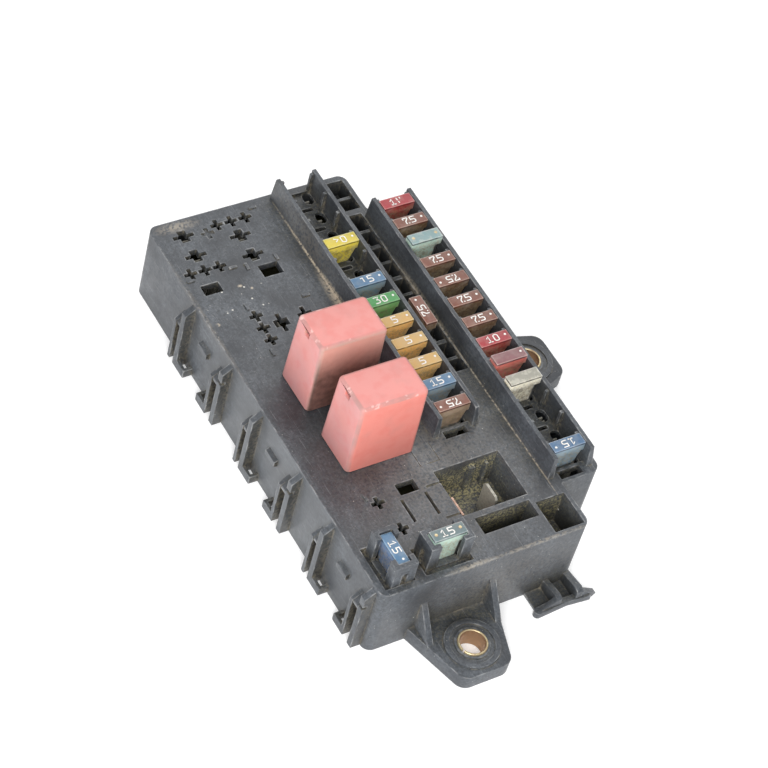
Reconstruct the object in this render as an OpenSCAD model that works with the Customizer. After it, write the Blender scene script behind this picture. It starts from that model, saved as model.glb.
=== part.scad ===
// Vehicle fuse box panel with plug-in mini fuses and two plug-in relays.
// Millimetres. Each piece is drawn from the housing's front left bottom corner:
// X runs across to the right, Y along the box to the back, Z up.
// The finished part is then shifted so that its origin is the middle of its base.

/* [Housing] */
// Width of the deck left of the fuse channels
deck_w = 42.4; // [40:0.1:60]
// Height of the deck above the base
deck_h = 26.8; // [25:0.1:34]
// Width of the narrower front end
front_w = 70.8; // [70:0.1:80]
// Length of the narrower front end
step_y = 16.3; // [15.5:0.1:20]
// Thickness of the outer walls
wall_t = 2.2; // [1.6:0.1:3]
// Thickness of the deck
deck_t = 2.4; // [2:0.1:3]
// Radius of the upright outer corners
corner_r = 3; // [1:0.1:5]
// Deck left behind the rearmost seat of the middle channel
rear_margin = 1.2; // [0.5:0.1:6]
// Deck left behind the right channel
notch_margin = 1.2; // [0.5:0.1:4]
// Deck left outside the right rail
rail_margin = 1.6; // [0.5:0.1:4]

/* [Fuse channels] */
// Distance from one fuse seat to the next
cell_pitch = 8.52; // [7:0.01:10]
// Distance from the front step to the first seat's centre
cell_inset = 7.7; // [6.6:0.1:12]
// Seats in the right channel
right_cells = 13; // [13:1:13]
// First seat of the middle channel, counted on the right channel's seats
mid_first = 3; // [3:1:3]
// Seats in the middle channel
mid_cells = 12; // [12:1:12]
// Height of the rails above the deck
rail_h = 7.8; // [5:0.1:10]
// Thickness of a rail at its top
rail_t = 1.3; // [0.8:0.1:2]
// Extra thickness of a rail at its foot
rail_draft = 0.9; // [0.2:0.1:1.5]
// Rail ahead of the first seat's centre
rail_front = 4.2; // [3:0.1:6]
// Rail behind the last seat's centre
rail_rear = 3.6; // [2.5:0.1:5]
// Depth of the channel floor below the deck
floor_drop = 1.2; // [0.4:0.1:1.4]
// Width of the strip between the two channels
strip_w = 9; // [8.6:0.1:14]
// How far a guide rib stands off its rail
rib_d = 1; // [0.6:0.1:1.6]
// Thickness of a guide rib
rib_t = 0.9; // [0.6:0.1:1.2]
// How far the guide ribs end below the top of the rails
rib_low = 0.7; // [0.2:0.1:3]
// Opening ahead of the first seat of a channel: length across
front_open_l = 7.8; // [5:0.1:9]
// Opening ahead of the first seat of a channel: length along
front_open_w = 2.8; // [1:0.1:3]

/* [Turned fuse seats] */
// Number of turned seats in the strip
turn_cells = 5; // [5:1:5]
// Distance from one turned seat to the next
turn_pitch = 13.7; // [13.3:0.1:15]
// Centre of the first turned seat from the front
turn_first_y = 70.5; // [60:0.1:72]
// Width of the deep pit beside each turned seat
turn_pit_w = 4; // [2:0.1:4.2]

/* [Fuses] */
// Length of a fuse head
fuse_l = 10.9; // [10:0.1:12]
// Thickness of a fuse head
fuse_t = 3.8; // [3.4:0.1:4.2]
// Height of a fuse's plastic body
fuse_h = 8.8; // [8:0.1:10]
// Extra height of the taller kind of fuse
tall_extra = 1.6; // [0.5:0.1:3]
// Height of the head
head_h = 3.4; // [2.4:0.1:4]
// Thickness of the body below the head
waist_t = 3.2; // [2.4:0.1:3.4]
// Length of the body's lower end
waist_l = 6.6; // [5.8:0.1:8]
// Length of the body under the head of the narrow kind
neck_l = 7.4; // [6:0.1:9]
// Width of a fuse blade
blade_w = 2.8; // [2.4:0.1:3]
// Thickness of a fuse blade
blade_t = 0.8; // [0.6:0.05:1]
// Length of the blades below the body
blade_len = 7.5; // [6:0.1:9]

/* [Relays] */
// Length of a relay cap
relay_l = 23.1; // [22:0.1:26]
// Depth of a relay cap
relay_d = 16.2; // [14:0.1:17]
// Height of a relay above the deck
relay_h = 27.5; // [24:0.1:32]
// Left side of the relays
relay_x = 11.7; // [8:0.1:14]
// Centre of the front relay from the front
relay_front_y = 50.5; // [48:0.1:54]
// Distance between the two relays
relay_gap_y = 24.2; // [20:0.1:28]
// Distance from the rear relay to the empty relay place
spare_gap_y = 25.4; // [22:0.1:27]
// How much the cap tapers on each long side
relay_draft = 0.8; // [0:0.1:1]
// How much the cap tapers at each end
end_draft = 0.2; // [0:0.1:1]
// Wall of a relay cap
cap_t = 1.2; // [0.8:0.1:1.6]
// Rounding of a relay cap
cap_r = 1.6; // [0.6:0.1:2]
// Width of the two load blades
load_w = 6.3; // [5:0.1:6.6]
// Width of the three coil blades
coil_w = 4; // [3:0.1:4.2]
// Distance between the coil blades
coil_pitch = 4.9; // [4.6:0.1:5.2]
// Length of the relay blades below the base
relay_blade_len = 9.5; // [7:0.1:11]

/* [Front recesses] */
// Left side of the large recess
recess_x = 36.4; // [35:0.1:37]
// Front of the large recess
recess_y = 16.6; // [16.2:0.1:18]
// Length across of the large recess
recess_l = 22.4; // [18:0.1:23]
// Length along of the large recess
recess_w = 17.2; // [14:0.1:19]
// Length across of the small recess ahead of it
slot_l = 18.8; // [14:0.1:19]
// Length along of the small recess
slot_w = 6; // [4.5:0.1:6.4]
// Side of the square recess in the front corner
square_s = 10.1; // [8:0.1:10.4]
// Wall left between neighbouring recesses
web_t = 2; // [1.4:0.1:2.4]
// Rim left outside the square recess
rim_t = 1.4; // [1:0.1:2]
// Depth of the pits beside the turned seats
pit_depth = 6.8; // [4:0.1:8]
// Depth of the trays around the front fuse holders
tray_depth = 1.8; // [1.4:0.1:3]

/* [Ears] */
// Outer diameter of the bushes
bush_d = 9.2; // [8:0.1:11]
// Bore of the bushes
bush_bore = 7.8; // [6:0.1:8]
// Thickness of the ears
ear_t = 5; // [4:0.1:8]
// Height of the raised ring around a bush
boss_h = 1; // [0.4:0.1:2]
// Diameter of the raised ring
boss_d = 17; // [13:0.1:18]
// How far a bush stands proud of its ring
bush_proud = 0.6; // [0.2:0.1:1.5]
// Distance from a bush centre to the ear's tip
ear_tip = 10; // [9:0.1:13]
// Half the width of an ear at its tip
ear_half = 9.2; // [9:0.1:12]
// Distance of the front bush from the front wall
front_reach = 12; // [10.5:0.1:16]
// Centre of the front bush from the left side
front_ear_x = 28; // [26:0.1:34]
// Distance of the right bush from the right wall
right_reach = 14.7; // [10.5:0.1:18]
// Centre of the right bush from the front
right_ear_y = 74; // [50:0.1:90]
// Height of the gussets on the wall
gusset_h = 16; // [10:0.1:20]

/* [Side guides] */
// Centre of the first guide set from the front
guide_first = 18.4; // [17.8:0.1:22]
// Distance from one guide set to the next
guide_pitch = 43.5; // [36:0.1:46]
// How far the guides stand off the left wall
guide_d = 3.2; // [2:0.1:5]
// Half the clear width between the inner fins
guide_half = 9; // [7:0.1:11]
// Thickness of a fin
fin_t = 1.3; // [0.8:0.1:2]
// Thickness of the taller fins
thick_t = 2.1; // [1:0.1:2.4]
// Gap between an inner and an outer fin
fin_gap = 2.9; // [1.5:0.1:3.4]

/* [Inside] */
// Thickness of the lower cover
cover_t = 2; // [1.4:0.1:3]
// Depth of the connector wells behind the lower cover
well_h = 7; // [5:0.1:7.5]
// Length across of a connector well
well_l = 27; // [20:0.1:29]
// Length along of a connector well
well_w = 13; // [10:0.1:15]
// Thickness of the circuit board
board_t = 1.6; // [1:0.1:2]
// Thickness of the bus bars
bar_t = 0.6; // [0.5:0.1:1.2]
// Thickness of a contact leaf
leaf_t = 0.5; // [0.3:0.05:0.7]

/* [Clearances] */
// Between a fuse's ends and its rails
end_gap = 0.3; // [0.2:0.05:0.6]
// Between a fuse or relay and what it sits on
seat_gap = 0.2; // [0.1:0.05:0.4]
// Between a blade and each contact leaf
blade_fit = 0.04; // [0.02:0.01:0.1]
// Around a blade or contact in the plastic
slot_gap = 0.25; // [0.2:0.05:0.4]
// Around a bush in its ear
bush_fit = 0.05; // [0.02:0.01:0.1]
// Around the lower cover and the circuit board
cover_gap = 0.2; // [0.1:0.05:0.5]

/* [Hidden] */
$fn = 48;
eps = 0.01;

// Places across the box, built up from the left
chan_half = fuse_l / 2 + end_gap;
rail_foot = rail_t + rail_draft;
mid_x = deck_w + rail_foot + chan_half;
strip_x = mid_x + chan_half + rail_foot;
strip_end = strip_x + strip_w;
right_x = strip_end + rail_foot + chan_half;
body_w = right_x + chan_half + rail_foot + rail_margin;
rear_w = strip_end + wall_t;

// Places along the box, built up from the front
function cell_y(n) = step_y + cell_inset + n * cell_pitch;
mid_last = mid_first + mid_cells - 1;
right_rear = cell_y(right_cells - 1) + rail_rear;
mid_rear = cell_y(mid_last) + rail_rear;
notch_y = right_rear + notch_margin;
body_len = mid_rear + rear_margin;
notch_r = 2.5;

// Heights, built up from the base
nib_h = 0.8;
nib_d = 1;
nib_l = 5;
cover_z = nib_h + cover_gap;
board_z = cover_z + cover_t + well_h;
board_top = board_z + board_t;
recess_t = 1.2;
recess_floor = board_top + bar_t + seat_gap + recess_t;
deck_under = deck_h - deck_t;
floor_z = deck_h - floor_drop;
seat_z = floor_z + seat_gap;
rail_top = deck_h + rail_h;
pit_floor = deck_h - pit_depth;
tray_floor = deck_h - tray_depth;
pit_t = 1.2;
contact_drop = 1;
contact_top = deck_under - contact_drop;
relay_z = deck_h + seat_gap;

// Sockets and seats
blade_c = fuse_l - blade_w;
waist_top = fuse_l - 0.6;
blade_slot_w = blade_w + 2 * slot_gap;
blade_slot_t = blade_t + 2 * slot_gap;
fork_t = blade_t + 2 * (blade_fit + leaf_t);
fork_trim = 0.4;
fork_base = 1;
oval_w = 3.2;
oval_l = 4.8;
comb_w = 4.4;
comb_t = 1.3;
turn_x = strip_x + end_gap + fuse_t / 2;
turn_pit_x = turn_x + fuse_t / 2 + end_gap + 0.1;
turn_half = fuse_l / 2 + end_gap + 0.4;
pit_rib = [1, 1.6];

// Front fuse holders: one fuse along the box, one across it
holder_a = [7.75, 9.6];
holder_b = [24.2, 8];
prong_t = 1.5;
prong_w = 7.4;
prong_top = rail_top + 0.6;
prong_leg = 1.9;
prong_slot = [1.2, 1.8, 6.4];

// Relay blade places along the relay, from its left side
coil_u = 3.6;
load_u = [9.8, 18.2];
relay_ys = [relay_front_y, relay_front_y + relay_gap_y];
spare_y = relay_ys[1] + spare_gap_y;
cross_t = 1.4;
cross_gap = 0.2;

// Standing terminal and copper bar end in the large recess
tab_w = 6.8;
tab_x = recess_x + 0.63 * recess_l;
tab_y = recess_y + 6.2;
tab_top = deck_h - 2;
bar_end_y = recess_y + 0.4;
bar_end_l = 6.8;
bar_w = 3.4;
bar_over = 2.2;

// Lower cover wells, in two columns
shroud_t = 1.2;
pin_w = 1.6;
pin_t = 0.8;
pin_pitch = [4.6, 5];
pin_count = [5, 2];
pin_drop = 5.4;
well_left = 6.5;
well_right = body_w - wall_t - cover_gap - 4.5 - well_l;
well_ys = [24, 62, 100];

// The part's box, whose base centre is the origin
x_min = -guide_d;
x_max = body_w + right_reach + ear_tip;
y_min = -(front_reach + ear_tip);
y_max = body_len;
origin = [(x_min + x_max) / 2, (y_min + y_max) / 2, 0];

// Colours
housing_c = "#2c2e30";
cover_c = "#232527";
board_c = "#2f5d3a";
copper_c = "#b87345";
tin_c = "#b9bcc0";
zinc_c = "#c9b06a";
relay_c = "#e07f7c";
relay_base_c = "#3a3032";
fuse_colours = [
    ["brown", "#6f453a"], ["red", "#b0303a"], ["blue", "#4a77ad"], ["tan", "#c69a52"],
    ["green", "#2f8f4e"], ["yellow", "#d8c22e"], ["teal", "#9cc3c4"], ["clear", "#d9d3bd"]
];
function fuse_colour(key) = [for (c = fuse_colours) if (c[0] == key) c[1]][0];

// Fuses that are plugged in: seat number, colour, kind (0 plain, 1 taller, 2 taller with a narrow body)
mid_fill = [
    [3, "brown", 0], [4, "blue", 0], [5, "tan", 0], [6, "tan", 0],
    [7, "tan", 0], [8, "green", 0], [9, "blue", 0], [11, "yellow", 0]
];
right_fill = [
    [0, "blue", 0], [3, "clear", 2], [4, "red", 1], [5, "red", 0],
    [6, "brown", 0], [7, "brown", 0], [8, "brown", 0], [9, "brown", 0],
    [10, "teal", 2], [11, "brown", 0], [12, "red", 0]
];
turned_fill = [[1, "brown", 0]];
function turn_y(n) = turn_first_y + n * turn_pitch;

// Each fuse: name, place, quarter turn, colour, kind
fuses = concat(
    [for (f = mid_fill) [str("fuse_mid_", f[0]), [mid_x, cell_y(f[0])], 0, f[1], f[2]]],
    [for (f = right_fill) [str("fuse_right_", f[0]), [right_x, cell_y(f[0])], 0, f[1], f[2]]],
    [for (f = turned_fill) [str("fuse_turned_", f[0]), [turn_x, turn_y(f[0])], 90, f[1], f[2]]],
    [["fuse_front_0", holder_a, 90, "blue", 0], ["fuse_front_1", holder_b, 0, "teal", 2]]
);
function fuse_height(f) = fuse_h + (f[4] > 0 ? tall_extra : 0);
function fuse_neck(f) = f[4] == 2 ? neck_l : waist_top;

// Every seat, filled or empty: place and quarter turn
seats = concat(
    [for (n = [mid_first : mid_last]) [[mid_x, cell_y(n)], 0]],
    [for (n = [0 : right_cells - 1]) [[right_x, cell_y(n)], 0]],
    [for (n = [0 : turn_cells - 1]) [[turn_x, turn_y(n)], 90]],
    [[holder_a, 90], [holder_b, 0]]
);

// Relay sockets: place of the relay's left end on its centre line, turn
rear_socket_x = [9.2, 26.1];
rear_socket_back = [25, 2.4];
rear_socket_turn = [90, -90];
sockets = concat(
    [for (y = relay_ys) [[relay_x, y], 0]],
    [[[relay_x, spare_y], 0]],
    [for (i = [0, 1]) [[rear_socket_x[i], body_len - rear_socket_back[i]], rear_socket_turn[i]]]
);

// Plain openings behind: corner from the left and from the rear end, size
rear_holes = [[4.6, 30.8, 6.1, 4], [25.2, 30.2, 6.7, 4.8]];
// Openings of the front panel: one plain, two crosses, two long slots
front_hole = [23.1, 29.7, 6.3, 4.1];
panel_crosses = [[15.4, 29.8], [17.4, 19.2]];
panel_slots = [[22.4, 24.1], [30.5, 24.1]];
panel_slot = [1, 8.4];
panel_line_x = 31.6;
panel_line_ys = [17.4, 29.4];
panel_line = [0.8, 0.5];
// Thin grooves on the deck ahead of the front relay: low corner, high corner, depth
plate_lines = [[[33.8, 36.9], [34.1, 42.6]], [[40.4, 36.9], [40.7, 44]], [[35.6, 36.9], [40.5, 37.2]]];
plate_line_d = 0.3;
blind_cross_x = 16.9;
blind_cross_back = 8.2;
blind_depth = 0.6;
comb_shift = 1.2;
front_open_in = 0.4;
load_hole = [4.8, 2.8];

// Low marks at the corners of the relay places: from the left, along, turn
mark = [2.6, 0.9, 0.5];
rear_marks = [[35, 3.2, 0], [2.9, 24.1, 0], [17.7, 23.4, 0], [21.9, 24.5, 90], [32.4, 23.9, 90]];
spare_marks = [[14.2, 9, 90], [13.2, -9.6, 90], [33.6, 7, 0]];
front_marks = [[12.7, 32.8, 90]];

// Nibs under the lower cover along the left and right walls
nib_ys = [30, 75, 120];
nib_shift = 4;

// A box between two corners
module box(low, high) {
    translate(low) cube(high - low);
}

// A rectangle with round corners between two corners
module rounded(x0, y0, x1, y1, r) {
    translate([x0 + r, y0]) square([x1 - x0 - 2 * r, y1 - y0]);
    translate([x0, y0 + r]) square([x1 - x0, y1 - y0 - 2 * r]);
    for (x = [x0 + r, x1 - r], y = [y0 + r, y1 - r]) translate([x, y]) circle(r);
}

// The housing's outline drawn in by a distance
module outline(inset) {
    r = max(corner_r - inset, 0.4);
    overlap = 2 * corner_r;
    rounded(inset, inset, front_w - inset, step_y + inset + overlap, r);
    rounded(inset, step_y + inset, body_w - inset, notch_y - inset, r);
    rounded(inset, step_y + inset, rear_w - inset, body_len - inset, r);
    difference() {
        translate([rear_w - inset - eps, notch_y - inset - eps]) square(notch_r);
        translate([rear_w - inset + notch_r, notch_y - inset + notch_r]) circle(notch_r);
    }
}

// Moves the finished pieces so that the origin is the middle of the base
module on_base() {
    translate(-origin) children();
}

// A rail with an upright inner face and a drafted outer face, its front end sloping
module rail(inner_x, side, y0, y1) {
    root = deck_h - deck_t / 2;
    slope = 0.9;
    intersection() {
        translate([0, y1, 0]) rotate([90, 0, 0]) linear_extrude(y1 - y0 + slope)
            polygon([
                [inner_x, root], [inner_x, rail_top],
                [inner_x + side * rail_t, rail_top], [inner_x + side * rail_foot, deck_h],
                [inner_x + side * rail_foot, root]
            ]);
        translate([inner_x - 2 * rail_foot, 0, 0]) rotate([90, 0, 90]) linear_extrude(4 * rail_foot)
            polygon([[y0 - slope, root], [y1, root], [y1, rail_top], [y0, rail_top], [y0 - slope, deck_h]]);
    }
}

// The two rails of a channel with a guide rib behind each seat
module channel(x, first, last) {
    y0 = cell_y(first) - rail_front;
    y1 = cell_y(last) + rail_rear;
    for (side = [-1, 1]) rail(x + side * chan_half, side, y0, y1);
    channel_ribs(x, first, last, deck_under, rail_top - rib_low);
}

// Guide ribs behind the seats of a channel between two heights
module channel_ribs(x, first, last, low, high) {
    for (side = [-1, 1], n = [first : last])
        translate([x + side * chan_half - rib_d * (side + 1) / 2, cell_y(n) + fuse_t / 2 + end_gap, low])
            cube([rib_d, rib_t, high - low]);
}

// The floor of a channel, lower than the deck
module channel_floor(x, first, last) {
    y0 = cell_y(first) - rail_front + rail_t;
    y1 = cell_y(last) + rail_rear - rail_t;
    difference() {
        box([x - chan_half, y0, floor_z], [x + chan_half, y1, deck_h + eps]);
        channel_ribs(x, first, last, floor_z - eps, deck_h + 2 * eps);
    }
}

// Openings of one seat in plan: a blade slot, a wide contact opening, as seen from above
module seat_openings() {
    translate([-blade_c / 2, 0]) square([blade_slot_w, blade_slot_t], center = true);
    translate([blade_c / 2, 0]) {
        square([blade_slot_w, blade_slot_t], center = true);
        for (y = [-1, 1]) translate([0, y * (oval_l - oval_w) / 2]) circle(oval_w / 2, $fn = 12);
        square([oval_w * cos(15), oval_l - oval_w], center = true);
    }
}

// A cross-shaped opening that takes a blade either way
module cross(w, t, w2, t2) {
    square([w, t], center = true);
    square([w2, t2], center = true);
}

// Places of one relay socket's blades along its centre line
module socket_places() {
    for (v = [-1, 0, 1]) translate([coil_u, v * coil_pitch]) children(0);
    for (u = load_u) translate([u, 0]) children(1);
}

// A cross for a coil blade
module coil_cross() {
    cross(coil_w + 2 * cross_gap, cross_t, cross_t, coil_w + 2 * cross_gap);
}

// Every opening through the deck, in plan
module deck_openings() {
    for (s = seats) translate(s[0]) rotate(s[1]) seat_openings();
    for (n = [mid_first : mid_last - 1])
        translate([mid_x + comb_shift, cell_y(n + 0.5)]) square([comb_w, comb_t], center = true);
    for (n = [0 : right_cells - 2])
        translate([right_x + comb_shift, cell_y(n + 0.5)]) square([comb_w, comb_t], center = true);
    for (s = sockets) translate(s[0]) rotate(s[1]) socket_places() {
        coil_cross();
        cross(cross_t, load_w + 4 * cross_gap, load_hole[0], load_hole[1]);
    }
    for (c = [[mid_x, mid_first], [right_x, 0]])
        translate([c[0], cell_y(c[1]) - rail_front - front_open_w / 2 + front_open_in])
            square([front_open_l, front_open_w], center = true);
    for (h = rear_holes) translate([h[0], body_len - h[1]]) square([h[2], h[3]]);
    translate([front_hole[0], front_hole[1]]) square([front_hole[2], front_hole[3]]);
    for (p = panel_crosses) translate(p) coil_cross();
    for (p = panel_slots) translate(p) square(panel_slot, center = true);
}

// Low marks on the deck at the corners of the relay places
module deck_marks() {
    places = concat(
        [for (m = rear_marks) [m[0], body_len - m[1], m[2]]],
        [for (m = spare_marks) [m[0], spare_y + m[1], m[2]]],
        front_marks
    );
    for (p = places)
        translate([p[0], p[1], deck_h + mark[2] / 2 - eps]) rotate(p[2]) cube(mark, center = true);
}

// Pit at the rear end of the strip: width with its rim, half its length, the rim itself, its middle
rear_pit = [7.4, 6.2];
rear_rim = 1.6;
rear_pit_y = turn_y(turn_cells) + 0.8;

// Sunken pockets of the deck: low corner, high corner, floor height
square_x = front_w - rim_t - square_s;
slot_x = recess_x + 2.8;
pockets = concat(
    [[[recess_x, recess_y], [recess_x + recess_l, recess_y + recess_w], recess_floor]],
    [[[slot_x, recess_y - web_t - slot_w], [slot_x + slot_l, recess_y - web_t], recess_floor]],
    [[[square_x, rim_t], [square_x + square_s, rim_t + square_s + 1.5], recess_floor]],
    [[[wall_t, wall_t], [holder_a[0] + 4.4, holder_a[1] + chan_half + prong_t + 0.4], tray_floor]],
    [[[holder_b[0] - chan_half - prong_t - 1.2, wall_t],
      [holder_b[0] + chan_half + prong_t + 0.2, holder_b[1] + 3.9], tray_floor]],
    [for (n = [0 : turn_cells - 1])
        [[turn_pit_x, turn_y(n) - turn_half], [turn_pit_x + turn_pit_w, turn_y(n) + turn_half], pit_floor]],
    [[[rear_w - rear_pit[0], rear_pit_y - rear_pit[1]],
      [rear_w - rear_rim, rear_pit_y + rear_pit[1]], pit_floor]]
);

// Walls and floor of every pocket below the deck
module pocket_walls() {
    for (p = pockets)
        box([p[0][0] - pit_t, p[0][1] - pit_t, p[2] - pit_t],
            [p[1][0] + pit_t, p[1][1] + pit_t, deck_under + eps]);
}

// The hollow of every pocket
module pocket_hollows() {
    for (p = pockets) box([p[0][0], p[0][1], p[2]], [p[1][0], p[1][1], deck_h + eps]);
}

// Shallow seats of the turned fuses, level with the channel floors
module turned_seats() {
    for (n = [0 : turn_cells - 1])
        box([strip_x, turn_y(n) - turn_half, floor_z],
            [turn_pit_x + eps, turn_y(n) + turn_half, deck_h + eps]);
}

// A cross rib in each pit beside a turned seat, and one in the rear pit
module pit_ribs() {
    for (n = [0 : turn_cells - 1])
        box([turn_pit_x, turn_y(n) - pit_rib[0] / 2, pit_floor],
            [turn_pit_x + turn_pit_w, turn_y(n) + pit_rib[0] / 2, deck_h - pit_rib[1]]);
    box([rear_w - rear_pit[0], rear_pit_y - pit_rib[0] / 2, pit_floor],
        [rear_w - rear_rim, rear_pit_y + pit_rib[0] / 2, deck_h - pit_rib[1]]);
}

// Lowers the walls between the pits of the strip
module pit_trough() {
    box([turn_pit_x, turn_y(0), deck_h - pit_rib[1]],
        [turn_pit_x + turn_pit_w, turn_y(turn_cells - 1), deck_h + eps]);
}

// A free-standing fuse holder in its tray: a seat block with a slotted C-shaped prong at each end
module holder(turn) {
    half = chan_half + prong_t;
    gap = fuse_t / 2 + end_gap;
    rotate(turn) {
        box([-half, -prong_w / 2, tray_floor - eps], [half, prong_w / 2, floor_z]);
        for (side = [0, 1]) mirror([side, 0, 0]) difference() {
            box([-half, -prong_w / 2, floor_z - eps], [prong_leg - chan_half, prong_w / 2, prong_top]);
            box([-chan_half, -gap, floor_z], [prong_leg - chan_half + eps, gap, prong_top + eps]);
            translate([-half - eps, -prong_slot[1] / 2, tray_floor]) cube(prong_slot);
        }
    }
}

// Both front fuse holders
module holders() {
    translate([holder_a[0], holder_a[1], 0]) holder(90);
    translate([holder_b[0], holder_b[1], 0]) holder(0);
}

// Room for the contacts of one seat inside the plastic
module contact_room(turn) {
    rotate(turn) for (side = [-1, 1])
        translate([side * blade_c / 2, 0, (board_top + deck_under) / 2])
            cube([blade_slot_w, fork_t + 2 * slot_gap, deck_under - board_top], center = true);
}

// Ribs on the rear wall of the large recess: place across, thickness
module recess_ribs() {
    rib_depth = 1.4;
    top_drop = 3;
    for (rib = [[12.6, 2], [18.4, 0.9]])
        box([recess_x + rib[0], recess_y + recess_w - rib_depth, recess_floor - eps],
            [recess_x + rib[0] + rib[1], recess_y + recess_w + eps, deck_h - top_drop]);
}

// Slots in the large recess's floor for the standing terminal and the copper bar end
module recess_slots() {
    translate([tab_x, tab_y, recess_floor])
        cube([pin_t + 2 * slot_gap, tab_w + 2 * slot_gap, 3 * recess_t], center = true);
    box([recess_x - pit_t - eps, bar_end_y - slot_gap, recess_floor - 2 * recess_t],
        [recess_x + bar_t + 2 * slot_gap, bar_end_y + bar_end_l + slot_gap, recess_floor + eps]);
}

// A blind cross between the two rear relay places
module blind_cross() {
    translate([blind_cross_x, body_len - blind_cross_back, deck_h - blind_depth])
        linear_extrude(blind_depth + eps) coil_cross();
}

// Shallow lines that frame the front panel on the deck, and thin grooves behind it
module panel_lines() {
    for (y = panel_line_ys)
        box([panel_line_x, y, deck_h - panel_line[1]], [recess_x + eps, y + panel_line[0], deck_h + eps]);
    for (l = plate_lines)
        box(concat(l[0], deck_h - plate_line_d), concat(l[1], deck_h + eps));
}

// One guide set on the left wall: two pairs of fins with foot loops and a snap wedge
module guide_set() {
    root = wall_t / 2;
    short_h = 18.4;
    tall_h = deck_h - 2.4;
    slope = 1.2;
    loop_t = 1;
    loop_h = 3;
    loop_l = 4.6;
    slot = [1.5, 1.4];
    web_t = 1.2;
    web_in = 0.4;
    inner = guide_half;
    outer = guide_half + fin_t + fin_gap;
    // Each fin: low side along the wall, thickness, height
    fins = [
        [inner, thick_t, tall_h], [outer, fin_t, short_h],
        [-inner - fin_t, fin_t, short_h], [-outer - thick_t, thick_t, tall_h]
    ];
    difference() {
        for (f = fins)
            translate([0, f[0] + f[1], 0]) rotate([90, 0, 0]) linear_extrude(f[1])
                polygon([
                    [root, 0], [-guide_d, 0], [-guide_d, f[2] - slope],
                    [0, f[2] + slope], [root, f[2] + slope]
                ]);
        translate([-guide_d - eps, -outer - thick_t - eps, short_h])
            cube([slot[0], thick_t + 2 * eps, slot[1]]);
    }
    // A web closes the top of the gap between each pair of fins
    for (gap = [[inner + thick_t, outer], [-outer, -inner - fin_t]])
        translate([0, gap[1] + eps, 0]) rotate([90, 0, 0]) linear_extrude(gap[1] - gap[0] + 2 * eps)
            polygon([
                [root, short_h + slope - web_t], [0, short_h + slope - web_t],
                [-guide_d + web_in, short_h - slope - web_t], [-guide_d + web_in, short_h - slope],
                [0, short_h + slope], [root, short_h + slope]
            ]);
    for (side = [-1, 1]) {
        y0 = side > 0 ? inner - loop_l : -inner;
        box([-guide_d, y0, 0], [-guide_d + loop_t, y0 + loop_l, loop_h]);
        y1 = side > 0 ? inner - loop_l : -inner + loop_l - loop_t;
        box([-guide_d, y1, 0], [root, y1 + loop_t, loop_h]);
    }
    wedge_l = 5.4;
    wedge_d = 1.3;
    wedge_z = [15.4, 16, 17.8, 18.4];
    translate([0, wedge_l / 2, 0]) rotate([90, 0, 0]) linear_extrude(wedge_l)
        polygon([
            [root, wedge_z[0]], [0, wedge_z[0]], [-wedge_d, wedge_z[1]],
            [-wedge_d, wedge_z[2]], [0, wedge_z[3]], [root, wedge_z[3]]
        ]);
}

// A bolt ear that points along -Y from the wall: plate, ring and two gussets
module ear(reach) {
    tip_r = 4;
    taper = 0.26;
    tip = reach + ear_tip;
    foot_half = ear_half + taper * tip;
    gusset_t = 2;
    gusset_l = 8;
    gusset_x = ear_half + taper * (tip - gusset_l) - gusset_t - 0.2;
    linear_extrude(ear_t) hull() {
        translate([-foot_half, 0]) square([2 * foot_half, wall_t / 2]);
        for (side = [-1, 1]) translate([side * (ear_half - tip_r), -tip + tip_r]) circle(tip_r, $fn = 32);
    }
    translate([0, -reach, ear_t - eps]) cylinder(d = boss_d, h = boss_h + eps);
    for (side = [-1, 1])
        translate([side * (gusset_x + gusset_t / 2) - gusset_t / 2, 0, 0])
            rotate([90, 0, 90]) linear_extrude(gusset_t)
                polygon([
                    [wall_t / 2, ear_t / 2], [-gusset_l, ear_t / 2], [-gusset_l, ear_t],
                    [0, gusset_h], [wall_t / 2, gusset_h]
                ]);
}

// The hole for a bush and the shallow groove around it in the ring
module ear_hole(reach) {
    groove_d = boss_d - 3.4;
    translate([0, -reach, -eps]) cylinder(d = bush_d + 2 * bush_fit, h = ear_t + boss_h + 2 * eps);
    translate([0, -reach, ear_t + boss_h / 2]) difference() {
        cylinder(d = groove_d, h = boss_h);
        translate([0, 0, -eps]) cylinder(d = bush_d + 1.6, h = boss_h + 2 * eps);
    }
}

// Puts an ear at the front wall and an ear at the right wall
module ears() {
    translate([front_ear_x, 0, 0]) { $reach = front_reach; children(); }
    translate([body_w, right_ear_y, 0]) rotate(90) { $reach = right_reach; children(); }
}

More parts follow.
